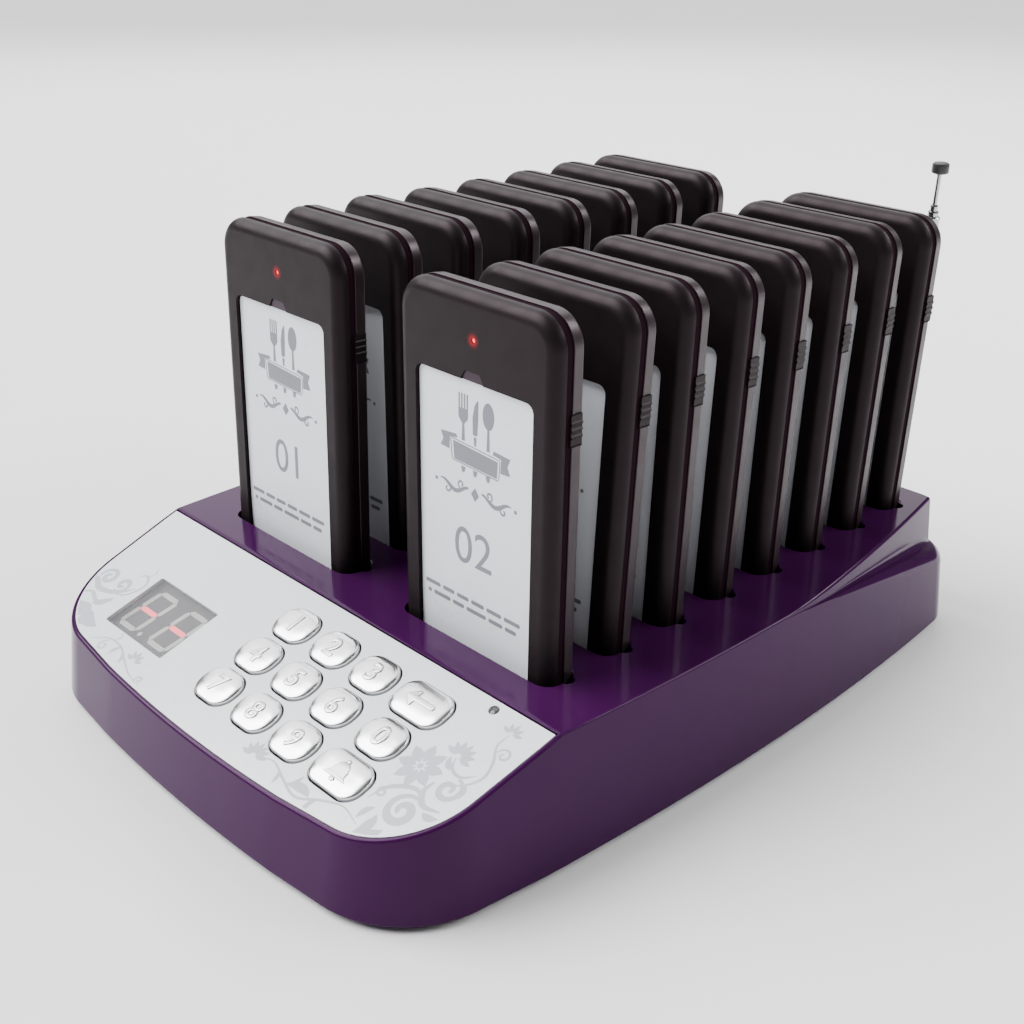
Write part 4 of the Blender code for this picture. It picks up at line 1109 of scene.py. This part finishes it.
def cutlery():
    """Fork, knife and spoon over a banner, on the label; x and height over the deck."""
    fork, knife, spoon = -3.9, 0.0, 4.2
    shapes = [rectangle(fork + dx - 0.24, fork + dx + 0.24, 56.0, 60.3, 0.23, 4)
              for dx in (-1.32, -0.44, 0.44, 1.32)]
    shapes += [rounded([(fork - 0.35, 53.2, 0.3), (fork + 0.35, 53.2, 0.3),
                        (fork + 1.56, 54.6, 0.9), (fork + 1.56, 56.8, 0.1),
                        (fork - 1.56, 56.8, 0.1), (fork - 1.56, 54.6, 0.9)], 5)]
    shapes += [ribbon([(fork, 53.6), (fork, 51.5), (fork, 49.2)], 0.85, (0.7, 1.3))]
    shapes += [rounded([(knife - 0.75, 51.4, 0.4), (knife + 0.65, 51.4, 0.4),
                        (knife + 0.95, 55.5, 2.0), (knife + 1.0, 60.2, 0.2),
                        (knife - 0.2, 58.4, 1.5), (knife - 0.85, 55.5, 2.0)], 5),
               rounded([(knife - 0.28, 48.9, 0.15), (knife + 0.28, 48.9, 0.15),
                        (knife + 0.5, 51.0, 0.2), (knife - 0.5, 51.0, 0.2)], 4)]
    shapes += [ellipse(spoon, 57.0, 1.85, 3.15), ribbon([(spoon, 54.3), (spoon, 51.6),
                                                         (spoon, 48.9)], 0.8, (0.8, 1.3))]
    shapes += [[(-6.9, 44.0), (7.0, 43.4), (7.3, 47.4), (-7.3, 48.4)],
               [(-7.6, 43.6), (7.5, 42.9), (7.5, 43.15), (-7.6, 43.85)],
               [(-8.0, 49.0), (-8.0, 48.75), (7.9, 47.8), (7.9, 48.05)],
               [(-7.75, 43.9), (-7.45, 43.9), (-7.9, 48.6), (-8.2, 48.6)],
               [(7.45, 43.3), (7.7, 43.3), (8.1, 47.8), (7.85, 47.8)],
               [(-8.5, 45.9), (-8.4, 48.9), (-5.8, 49.3), (-6.2, 50.1), (-11.4, 49.7),
                (-10.6, 47.9), (-11.5, 46.1)],
               [(8.1, 45.0), (11.2, 45.2), (10.3, 47.2), (11.2, 49.2), (6.0, 49.6), (5.6, 48.7),
                (8.3, 48.3)]]
    shapes += [rounded([(x - 0.75, 43.0, 0.05), (x - 0.4, 41.6, 0.2), (x + 0.4, 41.6, 0.2),
                        (x + 0.75, 43.0, 0.05)], 3) for x in (fork, knife, spoon)]
    return shapes


def flourish():
    """A plain ornament between the banner and the number, and two rows of plain bars."""
    middle = 37.2
    shapes = [rounded([(-1.3, middle, 0.1), (0.0, middle - 1.7, 0.1), (1.3, middle, 0.1),
                       (0.0, middle + 1.7, 0.1)], 3)]
    for side in (-1, 1):
        shapes += [ribbon([(side * x, middle + 0.9 * math.sin(x * 0.72)) for x in
                           [2.2 + 0.5 * i for i in range(20)]], 1.1, (0.5, 0.2)),
                   ribbon(curl(side * 4.6, middle + 1.15, 1.2, 270, side * 1.0), 0.5, (0.7, 0.6)),
                   ribbon(curl(side * 9.2, middle - 1.1, 1.2, 90, side * 1.0), 0.5, (0.7, 0.6)),
                   ellipse(side * 13.0, middle + 0.2, 0.5, 0.5, 14)]
    for height, start, lengths in ((9.1, -17.2, (5.2, 4.0, 4.1, 4.3, 4.9, 5.2)),
                                   (6.7, -16.4, (1.2, 5.8, 3.9, 6.6, 4.6, 3.6))):
        x = start
        for length in lengths:
            shapes.append(rectangle(x, x + length, height, height + 1.05, 0.4, 4))
            x += length + 0.9
    return shapes


def label_mesh(number):
    low = LABEL_TOP - LABEL_LENGTH
    face = PAGER_FRONT - RECESS_DEPTH + 0.25
    half = RECESS_HALF - 0.2
    card = prism(rectangle(-half, half, low, LABEL_TOP - 0.2, 2.0), face - 0.23, face)
    card = soften(card, 0.05, 2)
    emblem = moved(printed(cutlery() + flourish(), 0.03), 0.0, 0.0, face)
    digits = moved(number_mesh("%02d" % number, LABEL_NUMBER_HEIGHT), -0.6, 23.4, face)
    label = joined(card, painted(joined(emblem, digits), 1))
    return mesh_of(stand_up(label), "label_%02d" % number, CARD, CARD_INK)


def pager_matrix(number):
    """A pager's own frame, from its CAD solid and the line that it lifts along."""
    up = Vector(JOINTS["pager_%02d_lift" % number]["axis"]).normalized()
    forward = Vector((0.0, -up.z, up.y))
    node = "pager_%02d" % number + ("_front_shell" if number == SPLIT_PAGER else "")
    points = [v.co for v in frame["nodes"][node].data.vertices]
    rise = min(p.dot(up) for p in points) - PAGER_SEAT * MM
    reach = max(p.dot(forward) for p in points) - PAGER_FRONT * MM
    low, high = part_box(node)
    origin = up * rise + forward * reach + Vector(((low.x + high.x) / 2, 0.0, 0.0))
    columns = (Vector((1.0, 0.0, 0.0)), -forward, up)
    matrix = Matrix([[column[row] for column in columns] for row in range(3)]).to_4x4()
    return Matrix.Translation(origin) @ matrix


def make_pagers():
    shell = mesh_of(joined(front_shell(), rear_shell(), side_switch(), foot_contacts()),
                    "pager_shell", SHELL_WITH_PAINTED_GLOW, GROOVE_PAINTED_SHADE, NOTCH, GOLD, BAND_WITH_PAINTED_SHEEN)
    profile = [(0.0, -1.2), (1.0, -1.2), (1.0, -0.2), (0.86, 0.0), (0.55, 0.12), (0.0, 0.16)]
    lens = stand_up(lathe([(LAMP_RADIUS * r, z) for r, z in profile]))
    lens = mesh_of(lens, "pager_lamp", RED_LENS)
    lamp_place = Matrix.Translation(Vector((LAMP_X, 0.35 - PAGER_FRONT, LAMP_Z)) * MM)
    for number in range(1, 2 * ROWS + 1):
        name = "pager_%02d" % number
        matrix = pager_matrix(number)
        body = name + "_body"
        whole, card, lamp = [name], [], []
        if number == SPLIT_PAGER:
            whole = [name + "_front_shell", name + "_rear_shell"]
            card, lamp = [name + "_label"], [name + "_lamp"]
        piece(name + "_shell", shell, matrix, body, "pager_shell", *whole)
        piece(name + "_card", label_mesh(number), matrix, body, "label_card", *card)
        piece(name + "_light", lens, matrix @ lamp_place, body, "red_lamp", *lamp)


# ---- Antenna ----
def make_antenna():
    pivot = Vector(JOINTS["antenna_swivel"]["pos_m"])
    up = Vector(JOINTS["antenna_middle_slide"]["axis"]).normalized()
    matrix = Matrix(((up.z, 0.0, up.x), (0.0, 1.0, 0.0), (-up.x, 0.0, up.z))).to_4x4()
    matrix = Matrix.Translation(pivot) @ matrix

    low, high = local_box("antenna_mount", matrix)
    bush = lathe(round_ends(3.0, low.y, high.y - 0.1, 0.3))
    washer = lathe(round_ends(4.8, high.y - 0.8, high.y, 0.25))
    nut = soften(prism(ellipse(0.0, 0.0, 4.3, 4.3, 6), high.y - 4.9, high.y - 3.0), 0.2, 2)
    piece("antenna_bush", (lay_back(joined(bush, washer, nut)), STEEL), matrix, "base",
          "antenna_steel", "antenna_mount")

    low, high = local_box("antenna_swivel", matrix)
    disc_face = -2.1
    fork = lay_back(lathe(round_ends(3.7, low.y, disc_face, 0.25)))
    for side in (-1, 1):
        ear = prism(rounded([(disc_face - 0.4, low.z, 0), (high.y, low.z, 3.3),
                             (high.y, high.z, 3.3), (disc_face - 0.4, high.z, 0)], 12), 1.5, 3.0)
        sideways(soften(ear, 0.18, 2))
        if side < 0:
            turned(ear, 180, "Y")
        fork = boolean(fork, ear, "UNION")
    fork = boolean(fork, sideways(lathe(round_ends(1.1, -6.0, 6.0, 0.1))))
    piece("antenna_fork", (fork, STEEL), matrix, "antenna_swivel_body", "antenna_steel",
          "antenna_swivel")

    start, bore, radius, top = 5.5, 1.6, 1.95, 91.6
    tongue = soften(prism(rectangle(-1.8, start + 0.8, -1.8, 1.8, 1.7, 10), -1.2, 1.2), 0.12, 2)
    turned(tongue, -90, "Y")
    rivet = lathe([(0.0, -3.45), (0.7, -3.4), (1.15, -3.2), (1.3, -3.03), (0.8, -3.03),
                   (0.8, 3.03), (1.3, 3.03), (1.15, 3.2), (0.7, 3.4), (0.0, 3.45)], 28)
    sideways(rivet)
    barrel = lathe([(0.0, start), (1.5, start), (radius, start + 0.5), (radius, top - 1.3),
                    (radius + 0.1, top - 1.1), (radius + 0.1, top - 0.3), (radius - 0.1, top),
                    (bore, top), (bore, start + 4.0), (0.0, start + 4.0)])
    outer = joined(boolean(tongue, barrel, "UNION"), rivet)
    piece("antenna_outer", (outer, STEEL), matrix, "antenna_outer_body", "antenna_steel",
          "antenna_outer_tube")
    for name, bore, radius in (("middle", 1.2, 1.4), ("inner", 0.8, 1.0)):
        node = "antenna_%s_tube" % name
        low, high = local_box(node, matrix)
        profile = [(bore, low.z), (radius, low.z), (radius, high.z - 0.9),
                   (radius + 0.06, high.z - 0.75), (radius + 0.06, high.z - 0.25),
                   (radius - 0.06, high.z), (bore, high.z), (bore, low.z)]
        piece("antenna_" + name, (lathe(profile), STEEL), matrix, "antenna_%s_body" % name,
              "antenna_steel", node)
    low, high = local_box("antenna_rod", matrix)
    neck = high.z - 3.0
    rod = lathe([(0.0, low.z), (0.45, low.z), (0.6, low.z + 0.2), (0.6, neck - 0.6),
                 (0.85, neck - 0.4), (0.85, neck + 0.1), (0.0, neck + 0.1)], 28)
    cap = lathe([(0.0, neck), (1.9, neck), (2.3, neck + 0.25), (2.35, neck + 0.6),
                 (2.35, high.z - 0.8), (2.2, high.z - 0.3), (1.8, high.z - 0.06),
                 (0.0, high.z - 0.06)], 36)
    piece("antenna_tip", (joined(rod, painted(cap, 1)), STEEL, CHARCOAL), matrix,
          "antenna_rod_body", "antenna_steel", "antenna_rod")


# ---- Underside, jack and the pieces inside ----
def middle_of(node):
    """Where a CAD node's middle lies in the set's plan."""
    low, high = local_box(node, SET)
    return (low.x + high.x) / 2, (low.y + high.y) / 2


def make_underside():
    low, high = local_box("bottom_cover", SET)
    inset = WALL + GAP
    sections = [(inset + 0.4, low.z), (inset, low.z + 0.4), (inset, high.z)]
    cover = loft([[(x, y, z) for x, y in base_outline(z, d)] for d, z in sections])
    cutters = []
    for i in range(1, 5):
        sink = lathe(round_ends(2.75, low.z - 2.0, low.z + 1.2, 0.1))
        bore = lathe(round_ends(1.5, low.z - 1.0, high.z + 1.0, 0.1))
        cutters.append(moved(boolean(sink, bore, "UNION"), *middle_of("cover_screw_%d" % i)))
        seat = lathe(round_ends(6.3, low.z - 2.0, low.z + 0.4, 0.1))
        cutters.append(moved(seat, *middle_of("foot_%d" % i)))
    cover = boolean(cover, joined(*cutters))
    piece("base_cover", (cover, BLACK), SET, "base", "black_abs", "bottom_cover")
    for i in range(1, 5):
        foot, screw = "foot_%d" % i, "cover_screw_%d" % i
        a, b = local_box(foot, SET)
        pad = lathe([(0.0, a.z + 0.25), (3.6, a.z + 0.25), (3.9, a.z + 0.05), (4.2, a.z),
                     (5.3, a.z), (5.75, a.z + 0.2), (6.0, a.z + 0.6), (6.0, low.z + 0.3),
                     (0.0, low.z + 0.3)], 48)
        piece("foot_pad_%d" % i, mesh_of(moved(pad, *middle_of(foot)), "foot_pad", RUBBER), SET,
              "base", "rubber", foot)
        a, b = local_box(screw, SET)
        shank = lathe([(0.0, a.z), (1.9, a.z + 0.05), (2.3, a.z + 0.25), (2.4, a.z + 0.9),
                       (1.2, a.z + 0.95), (1.2, b.z - 0.6), (0.7, b.z), (0.0, b.z)], 32)
        cross = boolean(prism(rectangle(-1.5, 1.5, -0.28, 0.28), a.z - 1.0, a.z + 0.6),
                        prism(rectangle(-0.28, 0.28, -1.5, 1.5), a.z - 1.0, a.z + 0.6), "UNION")
        shank = moved(boolean(shank, turned(cross, 25 * i, "Z")), *middle_of(screw))
        piece("screw_%d" % i, mesh_of(shank, "screw", STEEL), SET, "base", "antenna_steel", screw)


def make_jack():
    low, high = local_box("power_jack", SET)
    middle = (low.z + high.z) / 2
    body = soften(prism(rectangle(low.x, high.x, -high.z, -low.z, 0.5), low.y, high.y), 0.25, 2)
    socket = lathe([(1.05, high.y - 9.5), (3.0, high.y - 9.5), (3.0, high.y - 0.3),
                    (3.3, high.y + 0.1), (3.3, high.y + 1.0), (1.05, high.y + 1.0),
                    (1.05, high.y - 9.5)])
    mouth = lathe(round_ends(3.3, high.y - 1.6, high.y + 1.0, 0.1))
    body = boolean(boolean(body, moved(socket, 0.0, -middle)), moved(mouth, 0.0, -middle))
    pin = lathe(round_ends(1.0, high.y - 9.6, high.y - 1.7, 0.4))
    body = lay_back(joined(body, painted(moved(pin, 0.0, -middle), 1)))
    piece("power_socket", (body, BLACK, STEEL), SET, "base", "black_abs", "power_jack")


def make_inside():
    board_top = local_box("charge_board", SET)[1].z
    pins = [moved(lathe([(0.0, board_top - 0.1), (1.0, board_top - 0.1), (1.0, board_top + 0.3),
                         (0.6, board_top + 0.4), (0.6, board_top + 0.75), (0.3, board_top + 0.9),
                         (0.0, board_top + 0.92)], 20), x + dx, y - 0.6)
            for x, y in slot_places() for dx in (-CONTACT_X, CONTACT_X)]
    piece("charge_pins", (joined(*pins), GOLD), SET, "base", "antenna_steel")
    finishes = {"cradle_left": BLACK, "cradle_right": BLACK, "key_membrane": SILICONE,
                "keypad_board": BOARD, "charge_board": BOARD, "pager_02_circuit_board": BOARD,
                "pager_02_battery": FOIL, "pager_02_buzz_motor": STEEL}
    for node, material in finishes.items():
        data = frame["nodes"][node].data
        data.materials.clear()
        data.materials.append(material)


# ---- Stage ----
def make_stage():
    floor_mesh = bpy.data.meshes.new("floor")
    bm = bmesh.new()
    bmesh.ops.create_grid(bm, x_segments=2, y_segments=2, size=8.0)
    bm.to_mesh(floor_mesh)
    bm.free()
    floor_mesh.materials.append(surface("floor", (0.90, 0.90, 0.905), 0.6, 1.5, 0.01, 0.03, 0.004))
    floor = bpy.data.objects.new("floor", floor_mesh)
    bpy.context.scene.collection.objects.link(floor)

    world = bpy.data.worlds.new("studio")
    world.use_nodes = True
    background = world.node_tree.nodes["Background"]
    background.inputs["Color"].default_value = (1.0, 1.0, 1.0, 1.0)
    background.inputs["Strength"].default_value = 0.14
    bpy.context.scene.world = world

    def lamp(name, kind, place, target, energy):
        light = bpy.data.lights.new(name, kind)
        light.energy = energy
        obj = bpy.data.objects.new(name, light)
        obj.location = place
        obj.rotation_euler = (Vector(target) - Vector(place)).to_track_quat("-Z", "Y").to_euler()
        bpy.context.scene.collection.objects.link(obj)
        return light

    def softbox(name, place, target, width, height, radiance):
        light = lamp(name, "AREA", place, target, radiance * math.pi * width * height)
        light.shape = "RECTANGLE"
        light.size = width
        light.size_y = height

    sun = lamp("key_light", "SUN", (-0.75, -0.55, 1.0), (0.0, 0.0, 0.0), 6.6)
    sun.angle = math.radians(50)
    softbox("overhead_box", (-0.69, 0.53, 0.90), (0.0, 0.0, 0.03), 1.5, 1.5, 2.6)
    softbox("rear_box", (0.55, 0.85, 0.75), (0.0, 0.0, 0.05), 0.9, 0.20, 20.0)
    softbox("side_box", (0.98, 0.42, 0.80), (0.0, -0.05, 0.03), 0.7, 0.10, 12.0)


def make_camera():
    azimuth, elevation, roll = math.radians(45.90), math.radians(25.33), math.radians(0.65)
    data = bpy.data.cameras.new("camera")
    data.lens = 47.58
    data.sensor_width = 36.0
    camera = bpy.data.objects.new("camera", data)
    back = Vector((math.sin(azimuth) * math.cos(elevation),
                   -math.cos(azimuth) * math.cos(elevation), math.sin(elevation)))
    level = Vector((math.cos(azimuth), math.sin(azimuth), 0.0))
    above = back.cross(level)
    right = level * math.cos(roll) + above * math.sin(roll)
    above = back.cross(right)
    rotation = Matrix([[axis[row] for axis in (right, above, back)] for row in range(3)])
    camera.matrix_world = Matrix.Translation((0.23954, -0.23638, 0.19933)) @ rotation.to_4x4()
    bpy.context.scene.collection.objects.link(camera)
    bpy.context.scene.camera = camera


make_camera()
make_stage()
make_housing()
make_plate()
make_ornament()
make_keys()
make_display()
make_pagers()
make_antenna()
make_underside()
make_jack()
make_inside()
